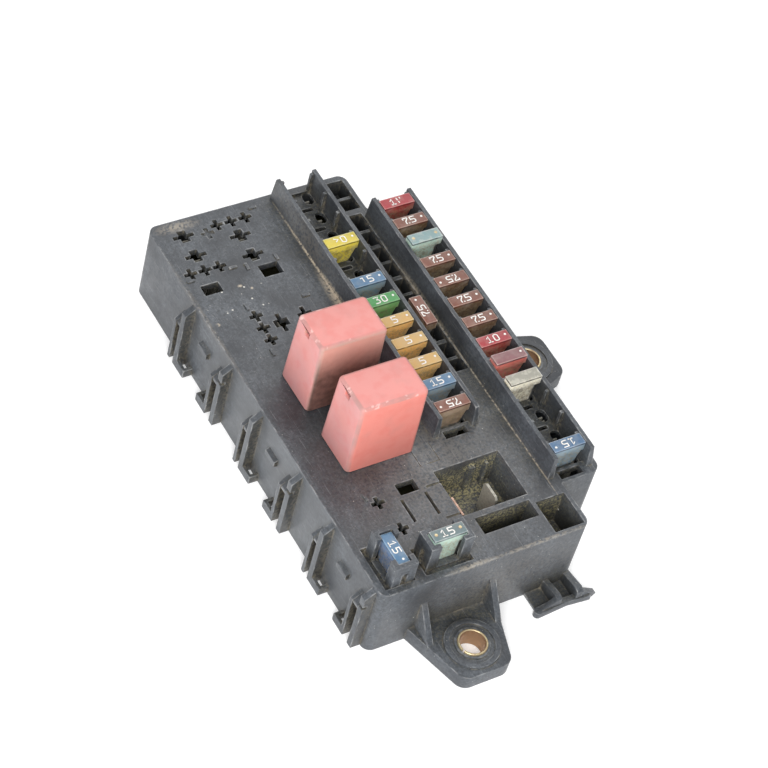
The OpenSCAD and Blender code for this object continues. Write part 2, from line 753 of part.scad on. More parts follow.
// Clip at the front right corner: a plate, a waved bar, two ribs with a crest, and a flared wing
module ladder_clip() {
    plate_t = 0.8;
    clip_h = 2.1;
    clip_y = 9;
    bar_d = 2.6;
    bar_r = bar_d / 2;
    wave = 0.7;
    flare = 2.4;
    rib_w = 1.8;
    root_z = 4.3;
    crest_z = 5.5;
    crest_y = 6.4;
    foot_y = 8.2;
    scoop = 5;
    low_x = front_w - 17.6;
    rib_x = low_x + 7;
    high_x = front_w + 1.7;
    bend_x = (low_x + high_x) / 2 + 2;
    wing_x = high_x - 5.1;
    wing_w = 2.3;
    box([low_x + bar_r, bar_r - clip_y, 0], [wing_x + wing_w, wall_t / 2, plate_t]);
    linear_extrude(clip_h) {
        translate([low_x + bar_r, bar_r - clip_y]) circle(bar_r);
        polygon([
            [low_x + bar_r, -clip_y], [bend_x, wave - clip_y], [high_x, -clip_y],
            [high_x, bar_d - clip_y], [low_x + bar_r, bar_d - clip_y]
        ]);
    }
    // The two ribs rise from the wall to a crest, then drop to the bar
    for (r = [[rib_x, rib_w], [wing_x, wing_w]])
        translate([r[0], 0, 0]) rotate([90, 0, 90]) linear_extrude(r[1])
            polygon([
                [wall_t / 2, 0], [-foot_y, 0], [-foot_y, crest_z - 0.9], [-foot_y + 0.6, crest_z - 0.3],
                [-crest_y, crest_z], [0, root_z], [wall_t / 2, root_z]
            ]);
    // A hollowed gusset climbs from the bar to the first rib, and a wing leaves the second
    translate([0, -crest_y, 0]) rotate([90, 0, 0]) linear_extrude(foot_y - crest_y)
        polygon([
            [rib_x - scoop, 0], [rib_x - scoop, clip_h], [rib_x - scoop * 0.45, clip_h + 0.7],
            [rib_x - scoop * 0.16, clip_h + 1.7], [rib_x, crest_z - 0.9],
            [rib_x + rib_w, crest_z - 0.9], [rib_x + rib_w, 0]
        ]);
    translate([0, -crest_y, 0]) rotate([90, 0, 0]) linear_extrude(foot_y - crest_y)
        polygon([
            [wing_x, 0], [wing_x, crest_z - 0.9], [wing_x + wing_w, crest_z - 0.9], [high_x, clip_h + 0.6],
            [high_x + flare, 1.2], [high_x + flare - 1, 0]
        ]);
}

// Posts under the deck that hold the circuit board down
post_s = 4;
post_places = [
    [5.4, 42], [5.4, 66], [5.4, 92], [38.2, 66], [38.2, 92], [38.2, body_len - 8], [64.5, 50]
];
module posts() {
    for (p = post_places)
        translate([p[0] - post_s / 2, p[1] - post_s / 2, board_top])
            cube([post_s, post_s, deck_under - board_top + eps]);
}

// Nibs inside the walls that hold the lower cover up
module cover_nibs() {
    for (y = nib_ys) {
        right_y = y - nib_shift;
        box([wall_t - eps, y, cover_z - nib_h], [wall_t + nib_d, y + nib_l, cover_z]);
        box([body_w - wall_t - nib_d, right_y, cover_z - nib_h],
            [body_w - wall_t + eps, right_y + nib_l, cover_z]);
    }
}

module housing() {
    color(housing_c) on_base() difference() {
        union() {
            difference() {
                linear_extrude(deck_h) outline(0);
                translate([0, 0, -eps]) linear_extrude(deck_under + eps) outline(wall_t);
            }
            intersection() {
                pocket_walls();
                linear_extrude(deck_h) outline(wall_t / 2);
            }
            channel(mid_x, mid_first, mid_last);
            channel(right_x, 0, right_cells - 1);
            posts();
            cover_nibs();
            deck_marks();
            for (n = [0 : 2]) translate([0, guide_first + n * guide_pitch, 0]) guide_set();
            ears() ear($reach);
            ladder_clip();
            holders();
        }
        channel_floor(mid_x, mid_first, mid_last);
        channel_floor(right_x, 0, right_cells - 1);
        turned_seats();
        pit_trough();
        difference() {
            pocket_hollows();
            holders();
            pit_ribs();
            recess_ribs();
        }
        translate([0, 0, deck_under - pit_t]) linear_extrude(deck_t + pit_t + eps) deck_openings();
        for (s = seats) translate([s[0][0], s[0][1], 0]) contact_room(s[1]);
        recess_slots();
        panel_lines();
        blind_cross();
        ears() ear_hole($reach);
    }
}

// Lower cover: a plate inside the walls with shrouded connector wells
module lower_cover() {
    inset = wall_t + cover_gap;
    color(cover_c) on_base() difference() {
        union() {
            translate([0, 0, cover_z]) linear_extrude(cover_t) outline(inset);
            for (x = [well_left, well_right], y = well_ys)
                box([x - shroud_t, y - shroud_t, cover_z],
                    [x + well_l + shroud_t, y + well_w + shroud_t, board_z]);
        }
        for (x = [well_left, well_right], y = well_ys)
            box([x, y, cover_z - eps], [x + well_l, y + well_w, board_z + eps]);
    }
}

module circuit_board() {
    color(board_c) on_base()
        translate([0, 0, board_z]) linear_extrude(board_t) outline(wall_t + cover_gap);
}

// Flat copper bars under the left contacts of both channels, one ending in the large recess
module bus_bars() {
    bar_x = mid_x - blade_c / 2;
    end_x = recess_x + slot_gap;
    mid_y = cell_y(mid_first) - 3;
    color(copper_c) on_base() {
        box([bar_x - bar_w / 2, mid_y, board_top],
            [bar_x + bar_w / 2, cell_y(mid_last) + bar_over, board_top + bar_t]);
        box([end_x, mid_y, board_top], [bar_x, mid_y + bar_w, board_top + bar_t]);
        box([end_x, bar_end_y, board_top], [end_x + bar_w, mid_y + bar_w, board_top + bar_t]);
        box([end_x, bar_end_y, board_top], [end_x + bar_t, bar_end_y + bar_end_l, deck_h - 0.2]);
        translate([right_x - blade_c / 2 - bar_w / 2, cell_y(0) - bar_over, board_top])
            cube([bar_w, cell_y(right_cells - 1) - cell_y(0) + 2 * bar_over, bar_t]);
    }
}

// A contact fork that grips a blade from both sides
module fork(width, low) {
    w = width - fork_trim;
    difference() {
        translate([-w / 2, -fork_t / 2, low]) cube([w, fork_t, contact_top - low]);
        translate([-width, -blade_t / 2 - blade_fit, low + fork_base])
            cube([2 * width, blade_t + 2 * blade_fit, contact_top]);
    }
}

// Contact forks of every fuse seat; in the channels the left one stands on a bus bar
module fuse_contacts() {
    color(tin_c) on_base() for (s = seats) {
        on_bar = s[0][0] == mid_x || s[0][0] == right_x;
        translate(concat(s[0], 0)) rotate(s[1]) {
            translate([-blade_c / 2, 0, 0]) fork(blade_w, board_top + (on_bar ? bar_t : 0));
            translate([blade_c / 2, 0, 0]) fork(blade_w, board_top);
        }
    }
}

// Contact forks of every relay socket
module relay_contacts() {
    color(tin_c) on_base() for (s = sockets)
        translate(concat(s[0], 0)) rotate(s[1]) socket_places() {
            fork(coil_w, board_top);
            rotate(90) fork(load_w, board_top);
        }
}

// Pins in the connector wells and the standing terminal in the large recess
module connector_pins() {
    corner = 0.9;
    color(tin_c) on_base() {
        for (x = [well_left, well_right], y = well_ys, i = [0 : pin_count[0] - 1], j = [0 : pin_count[1] - 1])
            translate([
                x + well_l / 2 + (i - (pin_count[0] - 1) / 2) * pin_pitch[0] - pin_w / 2,
                y + well_w / 2 + (j - (pin_count[1] - 1) / 2) * pin_pitch[1] - pin_t / 2,
                board_z - pin_drop
            ]) cube([pin_w, pin_t, pin_drop]);
        translate([tab_x - pin_t / 2, tab_y, 0]) rotate([90, 0, 90]) linear_extrude(pin_t)
            polygon([
                [-tab_w / 2, board_top], [tab_w / 2, board_top], [tab_w / 2, tab_top - corner],
                [tab_w / 2 - corner, tab_top], [corner - tab_w / 2, tab_top], [-tab_w / 2, tab_top - corner]
            ]);
    }
}

module mount_bushes() {
    bush_h = ear_t + boss_h + bush_proud;
    color(zinc_c) on_base() ears() translate([0, -$reach, 0]) difference() {
        cylinder(d = bush_d, h = bush_h);
        translate([0, 0, -eps]) cylinder(d = bush_bore, h = bush_h + 2 * eps);
    }
}

// Relay sizes that its pieces share
relay_base_h = 2.4;
cap_top = relay_h - seat_gap;
room_d = relay_d - 2 * cap_t;
room_top = cap_top - 2 * cap_t;

// Places a relay's pieces: x from its left side, y from its centre line, z from its underside
module on_socket(r) {
    on_base() translate([relay_x, relay_ys[r - 1], relay_z]) children();
}

// A hollow cap with tapering sides, round edges and a pry notch at each end
module relay_cap(r) {
    notch = [1.8, 2.4, 3.3];
    lip_h = 1.1;
    notch_shift = 1;
    inner_x = cap_t + end_draft + notch[0];
    color(relay_c) on_socket(r) difference() {
        hull() {
            for (x = [cap_r, relay_l - cap_r], y = [-relay_d / 2 + cap_r, relay_d / 2 - cap_r])
                translate([x, y, 0]) cylinder(r = cap_r, h = 1, $fn = 24);
            for (x = [cap_r + end_draft, relay_l - cap_r - end_draft],
                 y = [-relay_d / 2 + cap_r + relay_draft, relay_d / 2 - cap_r - relay_draft])
                translate([x, y, cap_top - cap_r]) sphere(cap_r, $fn = 24);
        }
        box([cap_t, -room_d / 2, -eps], [relay_l - cap_t, room_d / 2, relay_base_h]);
        box([inner_x, -room_d / 2 + relay_draft, relay_base_h - eps],
            [relay_l - inner_x, room_d / 2 - relay_draft, room_top]);
        for (side = [0, 1])
            translate([side * relay_l, notch_shift, cap_top]) mirror([side, 0, 0]) {
                box([-eps, -notch[1] / 2, -notch[2]], [end_draft + notch[0], notch[1] / 2, -lip_h]);
            }
    }
}

// Blades of one relay: three for the coil, two for the load
module relay_blade_shapes() {
    socket_places() {
        translate([-coil_w / 2, -blade_t / 2, -relay_blade_len])
            cube([coil_w, blade_t, relay_blade_len + relay_base_h]);
        translate([-blade_t / 2, -load_w / 2, -relay_blade_len])
            cube([blade_t, load_w, relay_blade_len + relay_base_h]);
    }
}

module relay_base(r) {
    color(relay_base_c) on_socket(r) difference() {
        box([cap_t, -room_d / 2, 0], [relay_l - cap_t, room_d / 2, relay_base_h]);
        relay_blade_shapes();
    }
}

module relay_blades(r) {
    color(tin_c) on_socket(r) relay_blade_shapes();
}

// Coil on a bent steel yoke that stands on the base
module relay_coil(r) {
    yoke_t = 1.2;
    coil_r = 4;
    coil_l = 11;
    foot = [coil_l + 2 * yoke_t, 7];
    x0 = (relay_l - foot[0]) / 2;
    axis_z = relay_base_h + yoke_t + coil_r + 1.2;
    color(copper_c) on_socket(r) {
        translate([x0, -foot[1] / 2, relay_base_h]) cube([foot[0], foot[1], yoke_t]);
        translate([x0, -foot[1] / 2, relay_base_h])
            cube([yoke_t, foot[1], axis_z + coil_r - relay_base_h + 1]);
        translate([x0 + yoke_t - eps, 0, axis_z]) rotate([0, 90, 0]) cylinder(r = coil_r, h = coil_l);
    }
}

// Metal element of a fuse: two blades joined by a thin link
module fuse_element(h) {
    link_z = 3;
    for (side = [-1, 1])
        translate([side * blade_c / 2 - blade_w / 2, -blade_t / 2, -blade_len])
            cube([blade_w, blade_t, blade_len + h - head_h]);
    translate([-blade_c / 2, -0.2, link_z]) cube([blade_c, 0.4, 0.8]);
}

module fuse_body(f) {
    h = fuse_height(f);
    neck = fuse_neck(f);
    link_l = blade_c - blade_w;
    color(fuse_colour(f[3])) on_base() translate(concat(f[1], seat_z)) rotate(f[2]) difference() {
        union() {
            translate([-fuse_l / 2, -fuse_t / 2, h - head_h]) cube([fuse_l, fuse_t, head_h]);
            translate([0, waist_t / 2, 0]) rotate([90, 0, 0]) linear_extrude(waist_t)
                polygon([
                    [-waist_l / 2, 0], [waist_l / 2, 0],
                    [neck / 2, h - head_h + eps], [-neck / 2, h - head_h + eps]
                ]);
        }
        for (side = [-1, 1])
            translate([side * blade_c / 2 - blade_w / 2, -blade_t / 2, -eps])
                cube([blade_w, blade_t, h - head_h + eps]);
        translate([-link_l / 2 - eps, -0.7, -eps]) cube([link_l + 2 * eps, 1.4, 4.6]);
    }
}

module fuse_blades(f) {
    color(tin_c) on_base() translate(concat(f[1], seat_z)) rotate(f[2]) fuse_element(fuse_height(f));
}

housing();
lower_cover();
circuit_board();
bus_bars();
fuse_contacts();
relay_contacts();
connector_pins();
mount_bushes();
for (r = [1, 2]) {
    relay_cap(r);
    relay_base(r);
    relay_blades(r);
    relay_coil(r);
}
for (f = fuses) {
    fuse_body(f);
    fuse_blades(f);
}
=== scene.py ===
"""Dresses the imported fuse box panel: dusty mouldings, printed fuses, faded relays and rolled bushes."""

from __future__ import annotations

import logging
import math
from collections.abc import Callable
from dataclasses import dataclass, field
from enum import Enum

import bmesh
import bpy
import numpy as np
from mathutils import Matrix, Vector


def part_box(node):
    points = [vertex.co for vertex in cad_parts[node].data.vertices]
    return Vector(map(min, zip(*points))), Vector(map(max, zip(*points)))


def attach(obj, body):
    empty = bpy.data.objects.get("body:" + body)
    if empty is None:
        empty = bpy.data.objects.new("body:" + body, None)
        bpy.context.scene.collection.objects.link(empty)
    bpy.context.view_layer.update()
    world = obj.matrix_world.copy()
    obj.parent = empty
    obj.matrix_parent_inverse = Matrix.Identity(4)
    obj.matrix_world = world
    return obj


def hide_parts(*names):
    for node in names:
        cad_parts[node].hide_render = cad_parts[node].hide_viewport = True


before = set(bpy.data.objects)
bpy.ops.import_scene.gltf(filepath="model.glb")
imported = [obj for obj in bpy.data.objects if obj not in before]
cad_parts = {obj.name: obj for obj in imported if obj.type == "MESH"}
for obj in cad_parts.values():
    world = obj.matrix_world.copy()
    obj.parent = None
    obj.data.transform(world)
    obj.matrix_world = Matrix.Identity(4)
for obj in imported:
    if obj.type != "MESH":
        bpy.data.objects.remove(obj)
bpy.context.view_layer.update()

LOG = logging.getLogger("fuse_box")
MM = 0.001
WHITE = "ffffff"
DECK_H = 26.8

Edge = bmesh.types.BMEdge
Material = bpy.types.Material
Mesh = bpy.types.Mesh
Piece = bpy.types.Object
Socket = bpy.types.NodeSocket
Triple = tuple[float, float, float]

# A fade is a socket, its values that become nought and one, and then, where they differ, what they become.
FADE = ("Value", "From Min", "From Max", "To Min", "To Max")


def linear(code: str) -> tuple[float, float, float, float]:
    """Turns an sRGB hex colour into linear light.

    Args:
        code: six hex digits.

    Returns:
        Red, green and blue in linear light, and an alpha of one.
    """
    parts = [int(code[i : i + 2], 16) / 255 for i in (0, 2, 4)]
    light = [p / 12.92 if p <= 0.04045 else ((p + 0.055) / 1.055) ** 2.4 for p in parts]
    return light[0], light[1], light[2], 1.0


def per_metre(size_mm: float) -> float:
    """Returns the texture scale whose features are about this many millimetres wide."""
    return 1.0 / (size_mm * MM)


@dataclass(frozen=True)
class Layout:
    """Sizes of the box and its front left bottom corner's place in the part's frame, in millimetres."""

    origin_x: float = 53.15
    origin_y: float = 63.04
    body_len: float = 148.08

    def place(self, x: float, y: float, z: float) -> Vector:
        """Returns a place of the box in the part's frame, in metres."""
        return Vector(((x - self.origin_x) * MM, (y - self.origin_y) * MM, z * MM))


BOX = Layout()


@dataclass(frozen=True)
class Patch:
    """Patches of a real size: noise, of which the value low becomes least and the value high becomes most.

    The size is one width in millimetres, or one each along x, y and z.
    """

    size_mm: float | Triple
    detail: float = 4.0
    low: float = 0.0
    high: float = 1.0
    least: float = 0.0
    most: float = 1.0


@dataclass(frozen=True)
class Drift:
    """A soft oval place on the box: its middle, half widths along x, y and z, and thickness there."""

    middle: Triple
    reach_mm: Triple
    thick: float = 1.0


@dataclass(frozen=True)
class Hollow:
    """How open a spot is within a reach: the value low becomes nought, and the value high becomes most.

    Seen from inside the solid, it finds the outer edges.
    """

    reach_mm: float
    low: float = 0.0
    high: float = 1.0
    most: float = 1.0
    inside: bool = False


@dataclass(frozen=True)
class Flecks:
    """Round flecks: a cell's width, a fleck's width, the part of cells with one, and its thickness."""

    cell_mm: float
    size_mm: float
    part: float
    thick: float = 1.0


# What a coat's share is a product of; a tuple is a fade.
Factor = float | Socket | tuple | Patch | Drift | Hollow | Flecks


class Coats:
    """The colour of one material, laid in coats, each over the last with a share of its own."""

    bump_mm: float = 0.08
    fleck_core: float = 0.6
    fleck_step: float = 0.02
    drift_core: float = 0.2
    rays: int = 10

    def __init__(self, name: str, first: str) -> None:
        """Starts a material.

        Args:
            name: the material's name.
            first: the colour under all coats.
        """
        self.material = bpy.data.materials.new(name)
        self.material.use_nodes = True
        self.tree = self.material.node_tree
        self.tree.nodes.clear()
        self.colour: tuple | Socket = linear(first)
        self.where = self.add("TexCoord").outputs["Object"]
        self.normal = self.add("NewGeometry").outputs["Normal"]
        self.spot = self.add("SeparateXYZ", {0: self.where}).outputs
        self.facing = self.add("SeparateXYZ", {0: self.normal}).outputs

    def add(self, kind: str, inputs: dict | None = None, **settings: object) -> bpy.types.Node:
        """Adds one shader node.

        Args:
            kind: the node's type name, without the words that all have in common.
            inputs: socket names or numbers with a value, or with the output socket to link.
            settings: the node's own properties.

        Returns:
            The new node.
        """
        node = self.tree.nodes.new("ShaderNode" + kind)
        for name, value in settings.items():
            setattr(node, name, value)
        for name, value in (inputs or {}).items():
            if isinstance(value, Socket):
                self.tree.links.new(value, node.inputs[name])
            else:
                node.inputs[name].default_value = value
        return node

    def share(self, *factors: Factor) -> Socket:
        """Multiplies factors, after fades are mapped and patterns are worked out.

        Args:
            factors: what is multiplied.

        Returns:
            The product.
        """
        patterns = {Patch: self.patches, Drift: self.drift, Hollow: self.hollow, Flecks: self.flecks}
        product = None
        for factor in factors:
            if type(factor) in patterns:
                factor = patterns[type(factor)](factor)
            elif isinstance(factor, tuple):
                inputs = dict(zip(FADE, factor))
                factor = self.add("MapRange", inputs, clamp=True).outputs["Result"]
            if product is None:
                product = factor
            else:
                inputs = {0: product, 1: factor}
                product = self.add("Math", inputs, operation="MULTIPLY").outputs[0]
        return product

    def lay(self, code: str, *factors: Factor) -> None:
        """Lays one coat.

        Args:
            code: its colour.
            factors: what its share is the product of.
        """
        inputs = {0: self.share(*factors), 6: self.colour, 7: linear(code)}
        self.colour = self.add("Mix", inputs, data_type="RGBA").outputs[2]

    def patches(self, patch: Patch) -> Socket:
        """Works out patches: noise on coordinates that are divided by the patches' size, then faded.

        Args:
            patch: their size and limits.

        Returns:
            The faded noise.
        """
        scale = [per_metre(width) for width in np.broadcast_to(patch.size_mm, 3).tolist()]
        spot = self.add("VectorMath", {0: self.where, 1: scale}, operation="MULTIPLY").outputs[0]
        inputs = {"Vector": spot, "Scale": 1.0, "Detail": patch.detail}
        cloud = self.add("TexNoise", inputs).outputs["Fac"]
        return self.share((cloud, patch.low, patch.high, patch.least, patch.most))

    def hollow(self, spot: Hollow) -> Socket:
        """Measures how open each spot of the piece is, by rays to its own surfaces, and fades it.

        Args:
            spot: the reach and limits.

        Returns:
            The faded openness.
        """
        settings = {"samples": self.rays, "only_local": True, "inside": spot.inside}
        node = self.add("AmbientOcclusion", {"Distance": spot.reach_mm * MM}, **settings)
        return self.share((node.outputs["AO"], spot.low, spot.high, 0.0, spot.most))

    def flecks(self, fleck: Flecks) -> Socket:
        """Scatters flecks: one place in each cell, and only a part of the cells has one.

        Args:
            fleck: their sizes.

        Returns:
            The thickness in a fleck and nought elsewhere.
        """
        cells = self.add("TexVoronoi", {"Vector": self.where, "Scale": per_metre(fleck.cell_mm)})
        limit = fleck.size_mm / (2.0 * fleck.cell_mm)
        dots = (cells.outputs["Distance"], limit, limit * self.fleck_core, 0.0, fleck.thick)
        chosen = self.add("SeparateXYZ", {0: cells.outputs["Color"]}).outputs[0]
        return self.share(dots, (chosen, fleck.part, fleck.part - self.fleck_step))

    def drift(self, place: Drift) -> Socket:
        """Marks a soft oval place: the distance from its middle, in half widths, faded to nought at one.

        Args:
            place: the oval.

        Returns:
            The mark.
        """
        inputs = {0: self.where, 1: BOX.place(*place.middle)}
        away = self.add("VectorMath", inputs, operation="SUBTRACT").outputs[0]
        inputs = {0: away, 1: [per_metre(r) for r in place.reach_mm]}
        near = self.add("VectorMath", inputs, operation="MULTIPLY").outputs[0]
        length = self.add("VectorMath", {0: near}, operation="LENGTH").outputs["Value"]
        return self.share((length, 1.0, self.drift_core, 0.0, place.thick))

    def bumps(self, patch: Patch, strength: float) -> Socket:
        """Raises a surface in patches.

        Args:
            patch: their size.
            strength: how much the surface leans.

        Returns:
            The leaning normal.
        """
        inputs = {"Height": self.patches(patch), "Strength": strength, "Distance": self.bump_mm * MM}
        return self.add("Bump", inputs).outputs["Normal"]

    def finish(self, inputs: dict) -> Material:
        """Adds the shader.

        Args:
            inputs: its sockets beside the colour, with a value or a socket.

        Returns:
            The finished material.
        """
        shader = self.add("BsdfPrincipled", {"Base Color": self.colour} | inputs)
        self.add("OutputMaterial", {"Surface": shader.outputs[0]})
        return self.material


class Tint(Enum):
    """The fuses' dusty plastic: the colour of the head, the colour of the sides, and how frosted the head
    is.

    The side colour is partly painted light: most sides are painted lighter than the head, for light that
    soaks through from above, brown and red darker, and the teal's paler lower body is its own colour.
    """

    BROWN = ("784634", "57412f", 0.0)
    RED = ("a02c34", "8e3432", 0.0)
    BLUE = ("517899", "6f8796", 0.0)
    TAN = ("cba664", "dcae66", 0.0)
    GREEN = ("44964f", "64a35e", 0.0)
    YELLOW = ("cfbc42", "e0cd4e", 0.0)
    TEAL = ("7e9a9c", "a8c0b4", 0.25)
    CLEAR = ("98968a", "e4dfcc", 0.4)


# Sand on the housing: at the rails' feet, on the deck's edges and front, on the front wall and one rail's
# face, and in spots.
SAND_DRIFTS: tuple[Drift, ...] = (
    Drift((42.3, 118.0, DECK_H), (0.55, 28.0, 0.7), 0.8),
    Drift((42.2, 103.0, DECK_H), (2.6, 14.0, 2.0), 0.85),
    Drift((9.0, 145.5, DECK_H), (9.0, 2.6, 3.0), 0.4),
    Drift((0.3, 108.0, DECK_H), (1.1, 34.0, 2.0), 0.14),
    Drift((30.0, 0.3, DECK_H - 0.2), (10.0, 1.2, 1.2), 0.4),
    Drift((67.4, 92.0, DECK_H), (1.2, 20.0, 2.0), 0.5),
    Drift((67.2, 50.0, DECK_H), (0.32, 64.0, 0.5), 0.55),
    Drift((54.0, 0.3, DECK_H - 0.2), (24.0, 0.8, 0.8), 0.35),
    Drift((38.0, 36.0, DECK_H), (42.0, 40.0, 3.0), 0.1),
    Drift((40.0, -0.2, 12.0), (42.0, 1.6, 18.0), 0.09),
    Drift((42.4, 126.0, 33.0), (1.6, 30.0, 9.0), 0.14),
    Drift((16.3, 117.4, DECK_H), (1.0, 0.7, 1.0), 0.9),
    Drift((2.8, 105.8, DECK_H), (0.9, 0.8, 1.0), 0.9),
    Drift((19.4, 115.4, DECK_H), (0.6, 0.6, 1.0), 0.9),
)


@dataclass(frozen=True)
class MouldedNylon:
    """Black glass-filled nylon, moulded: satin, greyed by a thin cloudy film of dust.

    Grains of dust lie on top, olive dust has caked in its recesses and beige dust in its creases, its edges
    are worn pale and painted with a highlight, and it is scratched lengthwise and dotted with pale flecks.
    Painted shade darkens its hollows, the deck round the relays and the guides' front faces, and a painted
    highlight pales the left wall.
    """

    name: str = "glass filled nylon, moulded black"
    bare: str = "2e3136"
    film: str = "53585e"
    # Scratches, and the painted highlight on the left wall.
    grains: str = "7f8285"
    scratch_and_wall_sheen: str = "85888b"
    packed: str = "a0957f"
    pocket: str = "cbbf8d"
    sand: str = "c4b7a2"
    # Wear and a painted highlight on the outer edges.
    rubbed_and_highlit: str = "a9aaaa"
    fleck: str = "dad8d0"
    # The colour of painted shade.
    painted_shade: str = "161614"
    caked: Drift = Drift((45.0, 29.0, 22.0), (23.0, 21.0, 19.0))
    corner: Drift = Drift((63.5, 10.0, 22.0), (11.0, 11.0, 15.0), 0.6)
    # Painted shade on the deck's left part, round the relays.
    relay_deck_shade: Drift = Drift((12.0, 64.0, DECK_H), (15.0, 36.0, 3.0), 0.4)
    # A painted highlight on the left wall.
    left_wall_sheen: Drift = Drift((0.0, 62.0, 14.0), (9.0, 66.0, 30.0), 0.32)
    strewn: Drift = Drift((14.0, 113.0, DECK_H), (11.0, 8.0, 2.0))
    recess: Hollow = Hollow(13.0)
    creases: Hollow = Hollow(1.1, 0.76, 0.54)
    guide_feet: Hollow = Hollow(4.0, 0.86, 0.6, 0.2)
    # The outer edges, for wear and a painted highlight.
    edges: Hollow = Hollow(0.6, 0.9, 0.5, inside=True)
    fine_flecks: Flecks = Flecks(1.7, 0.34, 0.5, 0.6)
    strewn_flecks: Flecks = Flecks(1.9, 0.75, 0.4, 0.8)
    large_flecks: Flecks = Flecks(8.0, 0.9, 0.3, 0.7)
    clouds: Patch = Patch(13.0, 5.0, 0.34, 0.66)
    wipes: Patch = Patch((0.9, 14.0, 1.4), 3.0, 0.3, 0.7, 0.6, 1.05)
    grit: Patch = Patch(0.8, 4.0, 0.32, 0.68, 0.25, 1.3)
    lying: Patch = Patch(0.5, 3.0, 0.56, 0.72)
    scratches: Patch = Patch((0.25, 10.0, 0.3), 2.0, 0.66, 0.74, 0.0, 0.45)
    cakes: Patch = Patch(7.0, 4.0, 0.22, 0.5)
    speckle: Patch = Patch(0.6, 3.0, 0.44, 0.62, 0.08, 1.0)
    lips: Patch = Patch(1.2, 4.0, 0.42, 0.62, 0.0, 0.6)
    broken: Patch = Patch(4.0, 6.0, 0.44, 0.66, 0.0, 0.55)
    sanded: Patch = Patch(0.9, 6.0, 0.36, 0.54)
    soiled: Patch = Patch(0.9, 4.0, 0.42, 0.6)
    scuffs: Patch = Patch(3.0, 6.0, 0.46, 0.68, 0.06, 0.85)
    flecked: Patch = Patch(14.0, 3.0, 0.4, 0.6)
    roughness: Patch = Patch(3.0, 4.0, 0.0, 1.0, 0.3, 0.56)
    grain: Patch = Patch(0.5, 2.0)

    def material(self) -> Material:
        """Builds the material.

        Returns:
            The housing's material.
        """
        coats = Coats(self.name, self.bare)
        self.dust(coats)
        self.shade_and_cake(coats)
        self.crease(coats)
        self.shade_light_and_soil_guides(coats)
        self.wear(coats)
        rough = coats.patches(self.roughness)
        return coats.finish({"Roughness": rough, "Normal": coats.bumps(self.grain, 0.2), "IOR": 1.56})

    def dust(self, coats: Coats) -> None:
        """Lays a greyish film, cloudy, gritty and wiped along the box, grains, painted shade on the deck
        round the relays, and scratches.

        Args:
            coats: the housing's coats.
        """
        clouds = coats.patches(self.clouds)
        coats.lay(self.film, (clouds, 0.0, 1.0, 0.15, 1.05), self.wipes, self.grit)
        coats.lay(self.grains, (coats.facing[2], 0.2, 0.9), self.lying, (clouds, 0.0, 1.0, 0.1, 0.5))
        # Painted shade on the deck round the relays.
        coats.lay(self.painted_shade, self.relay_deck_shade)
        coats.lay(self.scratch_and_wall_sheen, self.scratches)

    def shade_and_cake(self, coats: Coats) -> None:
        """Paints shade into hollows, cakes grainy olive dust in the recesses, pales the lips of holes and
        paints deeper shade in pockets well below the deck.

        Args:
            coats: the housing's coats.
        """
        openness = coats.hollow(self.recess)
        caked = {0: coats.drift(self.caked), 1: coats.drift(self.corner)}
        near = coats.add("Math", caked, operation="MAXIMUM").outputs[0]
        near = coats.share(near, self.below_deck(coats, 0.2, 1.2))
        # Painted shade in the hollows, less of it round the caked dust.
        coats.lay(self.painted_shade, (openness, 0.8, 0.35), (near, 0.0, 1.0, 0.5, 0.1))
        clinging = (coats.facing[0], -0.8, -0.3, 0.25, 1.0)
        cakes = coats.share(self.cakes, (near, 0.0, 1.0, 0.07, 1.0))
        coats.lay(self.pocket, (openness, 0.9, 0.6), cakes, self.speckle, clinging)
        coats.lay(self.packed, self.below_deck(coats, 2.4, 0.6), (openness, 0.45, 0.25), self.lips)
        # Painted shade deep in the pockets, well below the deck.
        coats.lay(self.painted_shade, self.below_deck(coats, 1.5, 5.0), (openness, 0.3, 0.12), 0.85)

    def below_deck(self, coats: Coats, none_mm: float, full_mm: float) -> tuple:
        """Returns the fade from nought to one between two depths below the deck."""
        return coats.spot[2], (DECK_H - none_mm) * MM, (DECK_H - full_mm) * MM

    def crease(self, coats: Coats) -> None:
        """Draws thin lines of beige dust into sharp creases, and lays the sand.

        Args:
            coats: the housing's coats.
        """
        coats.lay(self.packed, self.creases, self.broken)
        sanded = coats.patches(self.sanded)
        for place in SAND_DRIFTS:
            coats.lay(self.sand, place, sanded)

    def shade_light_and_soil_guides(self, coats: Coats) -> None:
        """Paints shade on the front faces of the guides on the left wall and a highlight on the wall, and
        soils it beside them.

        Args:
            coats: the housing's coats.
        """
        wall = BOX.place(0.0, 0.0, 0.0).x
        outside = (coats.spot[0], wall + 0.1 * MM, wall - 0.2 * MM)
        beside = (coats.spot[0], wall + 0.6 * MM, wall + 0.4 * MM)
        front = coats.share(outside, (coats.facing[1], -0.4, -0.8))
        soiled = coats.patches(self.soiled)
        # Painted shade on the guides' front faces, then a few olive grains.
        coats.lay(self.painted_shade, front, 0.55)
        coats.lay(self.packed, front, soiled, 0.06)
        # Painted highlight on the faces of the left wall.
        coats.lay(self.scratch_and_wall_sheen, self.left_wall_sheen, (coats.facing[0], -0.6, -0.95))
        coats.lay(self.packed, beside, self.guide_feet, soiled)

    def wear(self, coats: Coats) -> None:
        """Pales the outer edges in patches, as wear and a painted highlight, and scatters pale flecks.

        Args:
            coats: the housing's coats.
        """
        # Wear and a painted highlight on the outer edges.
        coats.lay(self.rubbed_and_highlit, self.edges, self.scuffs)
        coats.lay(self.fleck, self.fine_flecks, self.flecked)
        coats.lay(self.fleck, self.strewn_flecks, (coats.drift(self.strewn), 0.0, 0.3))
        coats.lay(self.fleck, self.large_flecks)


